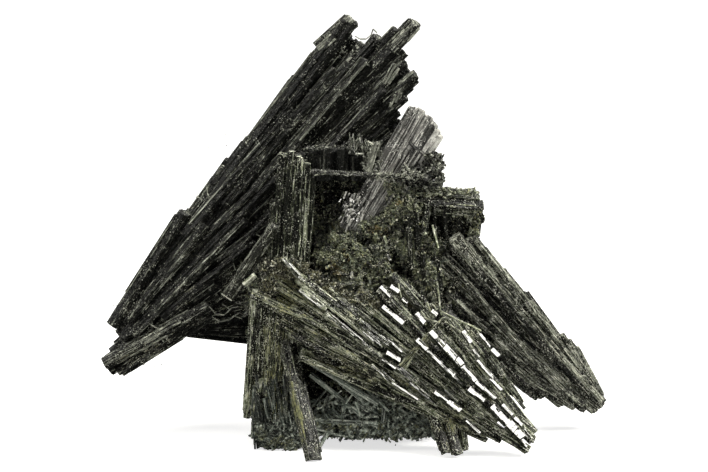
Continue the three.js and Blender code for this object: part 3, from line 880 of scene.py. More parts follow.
def sunk_prisms(mesh, luck, count):
    """Short prisms that lie every way in the back of the core, half sunk in its druse."""
    prisms = []
    for place, outward in zip(*scatter(mesh, luck, count)):
        if outward[1] < 0.25 or place[2] < 5:
            continue
        lie = unit(np.cross(outward, luck.normal(size=3)) + np.array([0, 0, 0.4])) * luck.uniform(1.5, 7)
        wide = luck.uniform(0.8, 2.4)
        middle = place + outward * wide * 0.2
        main = crystal(BROAD, luck, middle - lie, middle + lie, wide)
        prisms += [main, *ribs_on(main, luck, 3, 0.2)]
    return prisms


def sheaves(mesh, luck, count):
    """Sheaves of longer prisms that lie side by side on the back of the core."""
    prisms = []
    for place, outward in zip(*scatter(mesh, luck, count)):
        if outward[1] < 0.4 or not SHEAVES_FROM < place[2] < SHEAVES_TO:
            continue
        lie = unit(np.cross(outward, luck.normal(size=3)) + np.array([-0.3, 0, 0.7]))
        beside = np.cross(outward, lie)
        for _ in range(luck.integers(4, 9)):
            wide = luck.uniform(0.9, 2.4)
            out = luck.uniform(-2.6, 2.6)
            middle = place + beside * out + outward * (0.45 * wide + 0.3 - 0.05 * out * out)
            half = (lie + beside * out * 0.06) * luck.uniform(2.5, 7)
            if middle[1] + abs(half[1]) + 0.6 * wide > BACK:
                continue
            main = crystal(BROAD, luck, middle - half, middle + half, wide)
            prisms += [main, *ribs_on(main, luck, 3, 0.2), *edge_highlight(main, luck, UPPER_BACK, 3, 0.8)]
    return prisms


on_back = sunk_prisms(core, luck, SUNK_COUNT) + sheaves(core, np.random.default_rng(19), SHEAF_COUNT)
finish_bundle("back_prisms", on_back, BLACK_SCHORL, "black_tourmaline")

# ---------------------------------------------------------------- the front spray
# A fan of finer, straighter prisms with clean glassy faces, dusted olive and yellow where iron oxides
# settled in their grooves. It runs down to the right and stands on three short crystals.

FRONT_SPRAY = {
    "tip": (35, -1),
    "reach": 62,
    "root": (-13.5, 1.4),
    "end": (-11, 3),
    "taper": 0.65,
    "rows": [
        (26.4, 0, -10.8, 16.8, 1.6),
        (29.2, -0.2, -12.4, 21.2, 1.8),
        (32, -0.8, -20, 28.8, 1.8, 0.6),
        (30.8, 0, -17.6, 32.8, 2.2),
        (26, 4.2, -14.8, 35.6, 2),
        (28.8, 1.2, -12.8, 36.4, 2),
        (23, 7.1, -10.8, 32.8, 2, 0.5),
        (29.2, 2.4, -4.8, 30.4, 1.6),
        (28.6, 3.9, 0.4, 28.8, 1.8),
        (35.2, -0.4, 4.8, 30, 2, 0.4),
        (33.6, 2.4, 7.6, 33.2, 2),
        (36, 0.4, 13.2, 28.8, 1.6),
        (35.6, 2.4, 17.2, 25.6, 1.4),
        (34, 6.4, 19.6, 24.4, 1.4),
        (33.6, 7.6, 23.6, 22.8, 1.2),
    ],
}
# Each foot: across, up and depth of its lower end and of its upper end, and its width.
FRONT_FEET = [
    ((18.4, -2.2, -16.6), (15, 8, -12), 2.6),
    ((20.6, -2.4, -17), (18, 7, -12), 2.8),
    ((22, -1.6, -14.6), (21, 6, -12), 2.2),
]
DUSTED_SCHORL = schorl("schorl dusted with limonite", black=("#090b08", "#30332a", "#969a8c"),
                       threads=("#687056", "#a2a88e", "#eeefdf"),
                       dust=("#3a3e2e", "#74774e", "#b0ae7a"), dust_share=0.1, rough=(0.08, 0.34),
                       threaded=0.05)
luck = np.random.default_rng(23)
# The way that the lit edges of the front and right fans face, toward the key lamp, where a painted highlight
# goes.
UPPER_RIGHT = np.array([0.55, -0.5, 0.65])
front = dressed_spray(FRONT_SPRAY, luck, ribs=4, between=4, dust=0.05, lit_side=UPPER_RIGHT)
for low, high, wide in FRONT_FEET:
    foot = crystal(BROAD, luck, at(*high), at(*low), wide)
    front += [foot, *ribs_on(foot, luck, 3.0, 0.1)]
# Prisms that stand out of the fan, as placed() takes them.
FRONT_RODS = [
    (-20.4, 29.2, -2, 21.4, 1.7, 3, 0.7, 0.2),
    (-11.4, 32.2, 4, 19.8, 1.5, 5, 0.9, 0.5),
    (-12.6, 26.8, 6, 15.4, 1.6, 2, 0.9, 0.35),
    (-4, 19.6, 14, 7.6, 1.5, 2, 0.8, 0.4),
    (2, 14.6, 18, 4.2, 1.4, 1, 0.6, 0.45),
    (7.4, 28.6, 14.6, 20.8, 1.3, 8, 0.5, 0.4),
    (13, 20.8, 22, 11.6, 0.9, 8, 0.5, 0.3),
    (16.2, 21.6, 25.6, 10.8, 0.9, 10, 0.5, 0.25),
    (9.6, 14.8, 20, 5.6, 1.1, 5, 0.7, 0.35),
    (18, 7.4, 28, 0.6, 1.2, 3, 0.8, 0.3),
    (27, 10.4, 33.4, 3, 1.2, 8, 0.6, 0.5),
    (25.8, 12.8, 32.6, 4.8, 0.8, 9, 0.6, 0.45),
    (24, 5.4, 34.6, -1.8, 2.2, 4, 0.3, 0.4),
    (28, 6.6, 35.8, 0.2, 2, 7, 0.2, 0.45),
    (30, 7, 36, 2, 1.6, 10, 0.1, 0.5),
]
for main in placed(BROAD, luck, FRONT_SPRAY, FRONT_RODS):
    front += [main, *ribs_on(main, luck, 3, 0.1), *edge_highlight(main, luck, UPPER_RIGHT, 3, 0.85)]
front += broken_on(FRONT_SPRAY, luck, count=70, dust=0.05, lit_side=UPPER_RIGHT)
# A stray prism lies across the fan, and thin light needles stand about it.
STRAYS = [
    (9.2, 15, 17.8, 24.4, 1.4, 7, 1.3, 0.3),
    (16.5, 31.8, 17.4, 24.4, 0.4, 11, 0.5, 0.95),
    (17.2, 26, 25.2, 22, 0.5, 12, 1.2, 0.6),
    (13.4, 24.8, 17, 23.6, 0.4, 10, 1.4, 0.75),
    (17, 24.4, 21.8, 21.4, 0.4, 11, 1.2, 0.5),
    (8.8, 31.4, 9.4, 28.6, 0.4, 9, 0.8, 0.8),
    (9.6, 13.4, 11.4, 16.4, 0.5, 6, 1.4, 0.55),
    (14.4, 27.6, 15.8, 24.6, 0.5, 9, 0.8, 0.85),
]
front += placed(SLIM, luck, FRONT_SPRAY, STRAYS, dust=0.2)
front += specks_on(front, luck, count=3200, light=0.95)
# Clean faces that all look up to the right, and mirror the key lamp: across and up of both ends of each,
# and its width.
GLASSY = [
    (5.1, 30.6, 7.2, 28.7, 0.7),
    (7.1, 30.7, 8.7, 29.6, 1.0),
    (9.5, 28.3, 10.5, 27.4, 0.8),
    (12.2, 25.3, 13.9, 23.3, 1.1),
    (5.5, 26.7, 9.6, 23.3, 0.8),
    (15, 21.7, 23.9, 11.9, 1.2),
    (12.3, 20.1, 21.6, 11.1, 1.0),
    (24.1, 11.7, 28, 8.3, 0.9),
    (22.6, 10.3, 25.7, 8, 1.1),
    (15.9, 9.7, 21, 5.9, 1.1),
    (6.3, 17.5, 9.1, 15.9, 0.8),
    (7.6, 19.4, 9.5, 17.7, 0.4),
    (5.5, 16.3, 8.2, 14.4, 0.5),
    (15.3, 25.9, 16.4, 24.9, 0.7),
    (21.5, 21.8, 23.1, 19.5, 0.8),
    (24.9, 21.3, 27, 18.7, 0.6),
    (27.2, 18.2, 28.6, 16.8, 0.9),
    (24.1, 16.2, 27.2, 12.9, 0.7),
    (27, 12.4, 29.2, 10.1, 0.6),
    (23.6, 18.2, 24.8, 16.6, 0.5),
    (22.2, 4, 25, 1.5, 0.5),
    (7.5, 11.6, 12.7, 8.2, 0.35),
    (27.2, 6.8, 28.8, 5.1, 1.5),
    (28.9, 5, 30.4, 3.4, 1.6),
    (30.5, 3.3, 31.8, 1.9, 1.6),
    (31.9, 1.8, 33.2, 0.5, 1.4),
    (29.4, 7.2, 31.4, 5.2, 0.6),
    (31.8, 4.6, 33.4, 3, 0.6),
    (33.4, -0.2, 34.4, -1.2, 0.8),
]
# Cloudier faces, which only shimmer.
SATINY = [
    (-5.7, 25.6, 5.3, 16.7, 1.2),
    (0.9, 24.1, 3.4, 22.1, 1.0),
    (1.2, 22.6, 5.6, 18.8, 0.9),
    (-9.8, 29.2, -5.6, 26.4, 1.0),
    (3.4, 15.2, 8.2, 11.2, 0.8),
    (16, 12.4, 20.8, 8, 0.9),
    (25, 15.6, 28.6, 11.4, 0.8),
    (33.6, 2.2, 35.2, 0.2, 1.2),
    (-10.6, 30.4, -6, 26.8, 1.3),
    (-14, 36.4, -9.6, 31.4, 1.0),
    (1, 23.6, 9.4, 17.8, 1.0),
    (5.6, 17, 12.4, 11.6, 0.9),
    (10, 13, 16.4, 7.6, 0.8),
]
FACES_LOOK = np.array([0.358, -0.75, 0.556])
FAN_MIDDLE = 7  # the row whose depth they take
GLASSY_FORWARD, GLASSY_WIDER = 1.8, 1.6  # mm in front of the fan, and how many times the width given
SATINY_FORWARD, SATINY_WIDER = 1.2, 1.3
SATINY_STRIPS = 5  # clean strips on each
STEP = 4.0  # mm, the longest face before a break: each steps forward a little so that it looks the same way


def roll_to(start, end, outward):
    """The roll that turns a wide face of a crystal outward."""
    along = unit(end - start)
    aside = unit(np.cross(along, TOWARDS_FRONT))
    return math.atan2(outward @ np.cross(along, aside), outward @ aside) - math.radians(60)


FORWARD = at(0, 0, -1) - at(0, 0, 0)


def mirror_faces(luck, start, end, wide, clean):
    """A row of smooth crystals, each with a face that looks the way that FACES_LOOK says."""
    faces = []
    steps = math.ceil(np.linalg.norm(end - start) / STEP)
    cuts = [0.0, *((step + luck.uniform(-0.3, 0.3)) / steps for step in range(1, steps)), 1.0]
    for first, last in zip(cuts, cuts[1:]):
        low, high = part_of(start, end, first, last - luck.uniform(0, 0.03) / steps)
        high = high - FORWARD * (FACES_LOOK @ (high - low)) / (FACES_LOOK @ FORWARD)
        faces.append(crystal(SMOOTH, luck, low, high, wide * luck.uniform(0.8, 1.15),
                             roll=roll_to(low, high, FACES_LOOK), shade=0.4, clean=clean))
        # Black splinters stand along its edges.
        beside = unit(np.cross(high - low, FACES_LOOK))
        for side in (-1, 1, luck.uniform(-1, 1)):
            near, far = part_of(low, high, luck.uniform(0, 0.6), luck.uniform(0.4, 1))
            out = beside * side * wide * luck.uniform(0.2, 0.36) + FACES_LOOK * wide * 0.36
            thin = wide * luck.uniform(0.12, 0.26)
            faces.append(crystal(NEEDLE, luck, near + out, far + out, thin, shade=0.1))
    return faces


for across0, up0, across1, up1, wide in GLASSY:
    start = in_spray(FRONT_SPRAY, across0, up0, FAN_MIDDLE, -1, GLASSY_FORWARD)
    end = in_spray(FRONT_SPRAY, across1, up1, FAN_MIDDLE, -1, GLASSY_FORWARD)
    front += mirror_faces(luck, start, end, wide * GLASSY_WIDER, 1.0)
for across0, up0, across1, up1, wide in SATINY:
    start = in_spray(FRONT_SPRAY, across0, up0, FAN_MIDDLE, -1, SATINY_FORWARD)
    end = in_spray(FRONT_SPRAY, across1, up1, FAN_MIDDLE, -1, SATINY_FORWARD)
    front.append(crystal(BROAD, luck, start, end, wide * SATINY_WIDER, shade=0.4))
    for _ in range(SATINY_STRIPS):
        aside = np.array([0.7, 0, 0.7]) * wide * luck.uniform(-0.6, 0.6) + FORWARD * wide * 0.4
        low, high = part_of(start, end, luck.uniform(0, 0.6), luck.uniform(0.6, 1))
        front += mirror_faces(luck, low + aside, high + aside, luck.uniform(0.25, 0.5), luck.uniform(0.6, 1))
front_dust = [(-17, 32, 5, 0.3), (-12, 27, 5, 0.25), (-5, 18, 6, 0.15), (3, 13, 4, 0.3), (20, 4.5, 3.5, 0.3),
              (13, 20, 3, 0.2)]
finish_bundle("front_crystals", front, DUSTED_SCHORL, "dusted_tourmaline", "front_spray", spots=front_dust)

YELLOW_DRUSE = druse_material(
    "yellow druse",
    [(0.3, "#1e201a"), (0.44, "#3c3d2e"), (0.52, "#62603f"), (0.58, "#55543c"), (0.66, "#7d7a5c"),
     (0.75, "#a8a590")],
    [(0.0, "#0b0c0a"), (0.5, "#2c2d26"), (0.85, "#77776a"), (1.0, "#e0e0d4")],
)
# Lumps of druse along the upper edge of the fan: across, up and radius of each, and its grains.
FRONT_DRUSE = [
    (-17, 34.4, 1.8, 200),
    (-14.6, 34.2, 2.2, 260),
    (-16.6, 31.4, 2, 180),
    (-11.6, 33.8, 2.4, 300),
    (-9, 32.4, 2.4, 300),
    (-6.4, 30.8, 2.2, 280),
    (-3.8, 29.4, 2, 240),
    (-1.4, 28.2, 1.8, 200),
    (1.6, 28.6, 1.6, 160),
    (3.6, 27, 1.4, 120),
    (3.6, 14, 1.6, 120),
]


def druse_lumps(luck, lumps, spot):
    """Grains that stand every way in lumps. spot gives the point across, up and forward by so much."""
    grains = []
    for across, up, radius, count in lumps:
        for _ in range(count):
            aside, above, out = luck.normal(size=3) * 0.42 * radius
            place = spot(across + aside, up + above, abs(out) * 0.35 - 0.1)
            size = 0.2 + 0.5 * luck.random() ** 2
            lean = unit(luck.normal(size=3) + TOWARDS_FRONT * 0.6) * size * luck.uniform(0.8, 1.8)
            grains.append(crystal(GRAIN, luck, place - lean / 2, place + lean, size,
                                  shade=luck.random() ** 2, dust=luck.uniform(-0.2, 0.9)))
    return grains


def on_front_spray(across, up, forward):
    return in_spray(FRONT_SPRAY, across, up, FAN_MIDDLE, -1, forward)


on_fan = druse_lumps(luck, FRONT_DRUSE, on_front_spray)
finish_bundle("front_druse", on_fan, YELLOW_DRUSE, "dusted_tourmaline")

# ---------------------------------------------------------------- the right spray
# The fan behind the front one, with its tip far to the right: straight prisms with a grey bloom.

RIGHT_SPRAY = {
    "tip": (50.4, 6.6),
    "reach": 44,
    "root": (9, 2.2),
    "end": (0.5, 4.6),
    "taper": 0.8,
    "rows": [
        (36.8, 8, 24, 18.6, 1.8),
        (41.6, 6.6, 20, 24.4, 1.8),
        (44, 6.8, 18, 29.4, 2),
        (46, 5.8, 17.4, 32, 2.2),
        (48, 5.6, 17, 34.8, 2),
        (44.5, 10.7, 18, 37, 2),
        (49.2, 7.4, 19.6, 39.6, 3, 0.2),
        (50.4, 7.4, 22.6, 40.2, 2),
        (45.8, 13.3, 23.8, 40.6, 2),
        (49.2, 9.8, 41.8, 21, 1.6),
        (50.2, 8.6, 44.8, 18.4, 1.4),
    ],
}
BLOOMED_SCHORL = schorl("schorl with a grey bloom", black=("#0b0c0a", "#33342d", "#989a8e"),
                        threads=("#626559", "#a0a393", "#dcddd0"),
                        dust=("#32352c", "#5a5e48", "#8f906c"), dust_share=0.06, rough=(0.1, 0.36),
                        threaded=0.05)
luck = np.random.default_rng(37)
right = dressed_spray(RIGHT_SPRAY, luck, ribs=4, between=4, lit_side=UPPER_RIGHT)
# The broken block that it starts with, and prisms that stand out of it, as placed() takes them.
RIGHT_RODS = [
    (20, 40.6, 24.6, 35.2, 3.2, 6, 0.8, 0.34),
    (22.6, 38.6, 38, 20.4, 1.6, 7, 0.9, 0.4),
    (24.4, 40, 41, 19.6, 1.4, 8, 0.8, 0.5),
    (21, 33, 37, 14.6, 1.5, 5, 0.9, 0.35),
    (27, 24.6, 42, 9.8, 1.5, 3, 0.9, 0.45),
    (29, 29, 46, 11.2, 1.2, 6, 0.9, 0.3),
    (38, 20, 49.6, 7.6, 2, 6, 0.7, 0.45),
    (34, 17, 46, 6.8, 1.6, 3, 0.7, 0.4),
    (42, 15.4, 49.8, 7.4, 2.4, 8, 0, 0.35),
    (36, 12.6, 44.4, 6.4, 2, 2, 0, 0.3),
    (20.4, 28, 33, 16, 1.2, 2, 1.0, 0.4),
    (23, 22.6, 35.4, 12, 1.2, 1, 0.8, 0.3),
    (38, 15.6, 49.8, 6.8, 2.6, 5, -0.6, 0.3),
    (38, 14, 48.6, 6, 2.6, 4, -0.6, 0.35),
    (37, 13, 46.6, 6, 2.6, 3, -0.6, 0.25),
    (35, 12, 44.4, 6.4, 2.4, 2, -0.4, 0.3),
]
for main in placed(BROAD, luck, RIGHT_SPRAY, RIGHT_RODS):
    right += [main, *ribs_on(main, luck, 3, 0.1), *edge_highlight(main, luck, UPPER_RIGHT, 3, 0.75)]
right += broken_on(RIGHT_SPRAY, luck, count=60, dust=0.05, lit_side=UPPER_RIGHT)
right += specks_on(right, luck, count=2600, light=0.9)
right_dust = [(46, 9, 6, 0.15), (24, 36, 5, 0.15)]
finish_bundle("right_crystals", right, BLOOMED_SCHORL, "grey_black_tourmaline", "right_spray",
              spots=right_dust)

# ---------------------------------------------------------------- the upright column and the small groups
# The upright column left of the middle, with a yellowish coating low down, and the small groups that
# grew on the core: the back spray, the arch of short prisms on its top, and the crusted stub.

UPRIGHT_COLUMN = {
    "tip": (-17, -1.6),
    "reach": 59,
    "root": (-4.5, 3.6),
    "end": (-3, 2.8),
    "taper": 1,
    "rows": [
        (-21.4, 4.4, -19.6, 30, 2),
        (-19.8, 0.8, -17.2, 35.6, 2.4),
        (-18, -1.4, -14.2, 56.8, 2.4),
        (-16.4, -1.8, -12.4, 57.6, 2.2),
        (-14.8, -1.8, -10.8, 56.4, 2.2),
        (-13.2, -1.2, -9.2, 55.2, 2),
        (-12, 3, -8, 53.6, 1.6),
    ],
}
BACK_SPRAY = {
    "tip": (-36.4, 22),
    "reach": 21,
    "root": (13, 0.7),
    "end": (8, 1.6),
    "taper": 0.6,
    "rows": [
        (-35.2, 23.4, -15, 28, 2.4),
        (-36.4, 22.2, -14, 24.8, 2.6),
        (-35.6, 21.4, -14, 22, 2.6),
        (-33.6, 20.8, -15, 19, 2.2),
    ],
}
ARCH_BUNDLE = {
    "tip": (-4, 52),
    "reach": 7,
    "root": (-4, 0.8),
    "end": (-3.6, 0.8),
    "taper": 1,
    "rows": [
        (-8.2, 52, -8, 57.4, 3),
        (-5.4, 52, -5.4, 58.1, 3.4),
        (-2.4, 52, -2.4, 58, 3.4),
        (0.4, 52, 0.4, 56.8, 3),
        (1.6, 51.6, 4.6, 58.6, 2.4),
    ],
}
SIDE_STUB = {
    "tip": (12, 48),
    "reach": 14,
    "root": (-3, 0.9),
    "end": (-4, 0.9),
    "taper": 1,
    "rows": [
        (12, 50, 24.8, 48.6, 2.6),
        (12.4, 48, 25.6, 46.8, 2.8),
        (12, 46.4, 24, 45.6, 2.2),
    ],
}
luck = np.random.default_rng(41)
column = dressed_spray(UPRIGHT_COLUMN, luck, ribs=5.0, between=5, dust=0.14)
column += broken_on(UPRIGHT_COLUMN, luck, count=40)
# A white chip on a stalk, caught at the column's left, and dark prisms behind it, that reach the sprays.
CHIP = [
    crystal(SMOOTH, luck, at(-21.9, 31.2, -8.2), at(-19.9, 33, -8.4), 1.7, roll=0.3, shade=1.0),
    *hair(luck, [at(-21.2, 31.4, -8), at(-20.8, 30, -8), at(-20, 28.8, -7.6)], 0.4, 0.7),
]
BEHIND_LEFT = [
    ((-31, 25.8, 5), (-16, 31, 3), 2.6),
    ((-29, 26.4, 6), (-15, 28.4, 4), 2.4),
    ((-33, 26.4, 5), (-18, 36, 1), 2.4),
    ((-28, 30, 3), (-15, 42, 0), 2.6),
    ((-24, 33, 3), (-14, 47, 0), 2.6),
    ((-26, 29, 4), (-14, 35, 1), 2.6),
]
column += CHIP
for low, high, wide in BEHIND_LEFT:
    main = crystal(BROAD, luck, at(*low), at(*high), wide, shade=0.1)
    column += [main, *ribs_on(main, luck, 4, 0)]
column += specks_on(column, luck, count=900, light=0.9)
column_dust = [(-15.6, 14, 4, 0.35), (-15.4, 20, 3, 0.25), (-16, 7, 4, 0.1), (-15, 34, 30, -0.05),
               (-12, 46, 11, -0.3)]
finish_bundle("column_crystals", column, DUSTED_SCHORL, "dusted_tourmaline", "upright_column",
              spots=column_dust)
# The back spray's edges that face up and forward get a painted highlight.
small_back = dressed_spray(BACK_SPRAY, luck, ribs=5.0, between=4, lit_side=np.array([0, -0.5, 0.8]))
BACK_HAIRS = [
    [(-29, 26.6), (-27.6, 25), (-26, 25), (-24.6, 26.4), (-23.2, 26.6)],
    [(-28.4, 24.6), (-27, 23.6), (-25, 24), (-23, 25.4), (-21.6, 25)],
    [(-26.4, 27.2), (-25, 26.2), (-23.6, 27.4), (-22, 27), (-21.2, 25.8), (-22.2, 25)],
    [(-25.6, 23.8), (-24, 24.8), (-22.4, 24.2)],
]
for points in BACK_HAIRS:
    small_back += hair(luck, [at(*point, -1) for point in points], 0.3, 0.62)
finish_bundle("back_crystals", small_back, BLACK_SCHORL, "black_tourmaline", "back_spray")


def fibres(luck, count, low, high, toward, spread, long, wide, light, shapes=GRAIN):
    """Fine needles that start anywhere in a box (across, up and depth of two of its corners) and point
    one way, more or less. long, wide and light are ranges."""
    made = []
    for _ in range(count):
        start = at(*luck.uniform(low, high))
        lean = unit(np.array(toward, float) + luck.normal(size=3) * spread) * luck.uniform(*long)
        lean[2] = max(lean[2], 0.1 - start[2])
        width, shade, dust = luck.uniform(*wide), luck.uniform(*light), luck.uniform(-0.1, 0.3)
        made.append(crystal(shapes, luck, start, start + lean, width, shade=shade, dust=dust))
    return made


arch = dressed_spray(ARCH_BUNDLE, luck, ribs=6.0, dust=-0.6)
arch += fibres(luck, 220, (-10.2, 57.4, -5), (2.6, 58.6, -3), (1, -0.2, 0.1), 0.7, (0.4, 1.3), (0.2, 0.5),
               (0.1, 0.8))
arch += fibres(luck, 40, (-1, 58.4, -5.6), (1.6, 61.4, -4.4), (-0.1, -0.2, -1), 0.3, (1, 3), (0.25, 0.45),
               (0.3, 0.75))
arch += fibres(luck, 120, (1.8, 52.6, -6.4), (5.4, 59, -4.4), (-0.2, -0.2, 1), 0.5, (0.6, 2), (0.3, 0.8),
               (0.4, 0.9))
arch.append(crystal(BROAD, luck, at(2.8, 53.6, -6.2), at(4.6, 59, -5.6), 1.9, shade=0.66))
# The crusty lumps between the blade and the stub.
arch += fibres(luck, 420, (9.6, 50.6, -6.2), (17.6, 54.4, -4.4), (0, -0.3, 0.6), 0.9, (0.4, 1.3), (0.4, 1.1),
               (0.0, 0.8))
arch += fibres(luck, 160, (13.8, 53.6, -5.6), (17.6, 57, -4.6), (0, -0.3, 0.6), 0.9, (0.4, 1.1), (0.4, 1.2),
               (0.0, 0.8))
finish_bundle("arch_crystals", arch, BLACK_SCHORL, "black_tourmaline", "arch_bundle")
STUB_DARKER = 0.8
luck = np.random.default_rng(47)
stub = dressed_spray(SIDE_STUB, luck, ribs=5.0, dust=-0.05)
for one in stub:
    one["shade"] *= STUB_DARKER
# Its crusted knob turns down at the right end, onto the right spray. Rods stand in the hollow below it.
KNOB = [
    ((23.6, 48.4, -3.4), (25.2, 44, -1.6), 2.6),
    ((24.8, 46, -2), (24.4, 41, 1), 2),
    ((23.4, 44, -2), (23, 39.6, 1), 1.8),
    ((14.6, 47, -6), (13.8, 40.4, -7.4), 1.6),
    ((12.2, 47.4, -6.4), (12.6, 38, -8), 1.4),
    ((15.8, 47, -5), (16.6, 38.6, -5.4), 0.8),
    ((18, 46.6, -4.6), (18.4, 40.6, -4), 0.9),
    ((20.6, 46.4, -4), (21, 41, -2.6), 0.7),
    ((10.8, 45, -8), (11.4, 34, -9.4), 1.2),
    ((16.6, 36, -8.4), (17.4, 30, -9), 1.1),
    ((13.6, 38, -8), (14.2, 31, -9.4), 1.3),
    ((17, 47.4, 0), (19, 37, 2), 4),
    ((20, 46.4, 1), (21.6, 37, 3), 4),
    ((22.6, 45.4, 2), (23.4, 37, 3.6), 3.4),
]
for high, low, wide in KNOB:
    main = crystal(BROAD, luck, at(*high), at(*low), wide, shade=0.1, dust=-0.25)
    stub += [main, *ribs_on(main, luck, 3, -0.2)]
# This needle is painted white: a painted highlight where a thin needle catches the light.
stub.append(crystal(SMOOTH, luck, at(15.6, 43, -5.6), at(16.8, 38.4, -5.8), 0.45, shade=1.0))
stub.append(crystal(SMOOTH, luck, at(6, 40.8, -7.6), at(6.6, 39, -7.2), 0.5, shade=1.0))
stub += specks_on(stub, luck, count=1800, light=0.8, coarse=0.7)
stub += fibres(luck, 300, (11, 48.6, -5.2), (24.4, 50.2, -3), (1, -0.3, 0), 0.5, (0.3, 1), (0.3, 0.7),
               (0, 0.8))
stub += fibres(luck, 200, (22.8, 41, -3.2), (24.9, 48, -2), (0.3, -0.6, -0.3), 0.7, (0.3, 0.9), (0.25, 0.6),
               (0, 0.8))
stub_dust = [(24, 46, 4, 0.2), (16, 50, 5, 0.05), (13, 36, 4, 0.2)]
finish_bundle("stub_crystals", stub, DUSTED_SCHORL, "crusted_tourmaline", "side_stub", spots=stub_dust)

# ---------------------------------------------------------------- the crust at the foot
# Blue-grey needles and lumps that hang in a ragged fringe along the cluster's lower front, and the thin
# prisms that cross the hollow above them. They are tourmaline too, finer and less black.

CRUST_SCHORL = schorl("blue-grey fibrous tourmaline", black=("#101412", "#68726a", "#b4bcb2"),
                      threads=("#6a746c", "#9ea89c", "#d8dccf"),
                      dust=("#383e38", "#6b705c", "#9c9d78"), dust_share=0.05, rough=(0.2, 0.5),
                      threaded=0.05)
# The thin prisms in the hollow: across, up and depth of both ends, the width and the shade.
HOLLOW_RODS = [
    ((-11.8, 17.4, -7), (4.8, 7.3, -12), 1.4, 0.55),
    ((-8.7, 13.1, -6), (1.7, 4.9, -10), 1.2, 0.6),
    ((-9.3, 5.5, -8), (-5.7, 9.8, -5), 0.5, 0.6),
    ((-10.6, 15, -6), (-10.2, 8.6, -8), 0.6, 0.5),
    ((6, 6.7, -11), (5.7, 3.6, -12), 0.8, 0.5),
    ((-9.6, 4, -10), (4.8, 3.4, -10.5), 1.1, 0.6),
    ((-7.5, 2.4, -10.4), (-2.6, 0.9, -10.4), 0.7, 0.6),
    ((-6.9, -1.5, -12.4), (-5.2, 1.4, -10.6), 0.8, 0.55),
    ((-9, 18.4, -8), (3, 11.6, -11.6), 1.1, 0.4),
    ((-3, 11.6, -9), (4.6, 5.6, -11), 0.9, 0.45),
    ((-1, 13, -9), (7, 6, -11.6), 0.7, 0.35),
]
luck = np.random.default_rng(61)
crust = []
for high, low, wide, shade in HOLLOW_RODS:
    main = crystal(BROAD, luck, at(*high), at(*low), wide, shade=shade)
    crust += [main, *ribs_on(main, luck, 3, 0.1)]
# Its fringes of needles, as fibres() takes them.
CRUST_FRINGES = [
    (620, (-9, 1, -9.4), (19, 4.4, -7.4), (-0.1, -0.8, -0.4), 0.8, (0.5, 1.8), (0.4, 1.3), (0.1, 0.95)),
    (300, (-2, 1.2, -10.4), (17, 3, -8.4), (0, -0.7, -0.5), 0.8, (0.5, 1.6), (0.5, 1.5), (0.1, 0.95)),
    (300, (-8, 3.4, -10), (12, 8.4, -7), (0.6, -0.7, -0.4), 0.8, (0.8, 3), (0.3, 0.9), (0.1, 0.95)),
    (90, (-20.6, 2, -9.2), (-12.4, 6, -7.8), (0.12, -0.1, -1), 0.1, (2, 5), (0.4, 1), (0, 0.3), SLIM),
    (60, (-20, 5, -9.2), (-12.4, 14, -7.8), (0.12, -0.1, -1), 0.1, (2, 6), (0.3, 0.8), (0, 0.3), SLIM),
    (300, (-20.2, 0.6, -9.6), (-11.4, 3.6, -8.2), (0.1, -0.8, -0.3), 0.8, (0.4, 1.4), (0.3, 1), (0, 0.6)),
    (300, (-18.6, -1.4, -9.4), (-10.6, 1.4, -8), (0.2, -0.8, -0.5), 0.8, (0.4, 1.6), (0.3, 1), (0, 0.6)),
]
for fringe in CRUST_FRINGES:
    crust += fibres(luck, *fringe)
# Lumps that hang from it at different heights: across, up, radius and grains.
CRUST_LUMPS = [
    (-7.4, 3.4, 1.0, 70),
    (-5, 3, 1.2, 90),
    (-2.4, 2.8, 1.0, 70),
    (0.2, 2.6, 1.3, 110),
    (2.6, 1.8, 1.1, 90),
    (5, 2, 1.5, 140),
    (7.6, 1.2, 1.4, 130),
    (9.6, 2.2, 1.2, 90),
    (12.4, 1.4, 1.3, 110),
    (15, 2.6, 1.2, 90),
    (-16.4, -0.2, 1.5, 130),
    (-13, -1, 1.3, 110),
    (-18.6, 1.4, 1.2, 90),
]


def before_crust(across, up, forward):
    return at(across, up, -10 - 2 * forward)


crust += druse_lumps(luck, CRUST_LUMPS, before_crust)
finish_bundle("crust_needles", crust, CRUST_SCHORL, "druse")

# ---------------------------------------------------------------- the grey blade
# A broad blade of satin grey prisms at the upper right: tourmaline whose fine ribs are so close that it
# shines like satin. Its light grey is partly its own colour and partly a painted sheen. It grew up out of the
# core.

GREY_BLADE = {
    "tip": (1, 42),
    "reach": 27,
    "root": (-5, 0.8),
    "end": (-4.4, 0.9),
    "taper": 0.9,
    "rows": [
        (-2, 42.4, 11.6, 66, 2.4),
        (0, 42, 13.4, 65.6, 2.6),
        (2.4, 42.4, 15.6, 63.2, 2.8),
        (5.6, 44, 16.8, 60.8, 2.2),
    ],
}
# The blade's colours: its own grey, made lighter as a painted sheen.
SATIN_GREY = schorl("satin grey tourmaline", black=("#151514", "#84837f", "#b6b5b0"),
                    threads=("#96958f", "#c2c1bb", "#f0efe9"),
                    dust=("#3c3c3b", "#626261", "#9a9a98"), dust_share=-0.1, rough=(0.22, 0.4))
luck = np.random.default_rng(53)
blade = []
BLADE_RODS, BLADE_PAINTED_GLITTER, BLADE_MIRRORS = 120, 110, 16
CRACK = (0.755, 0.78)  # a crack across the two rows on the right, as shares of their length
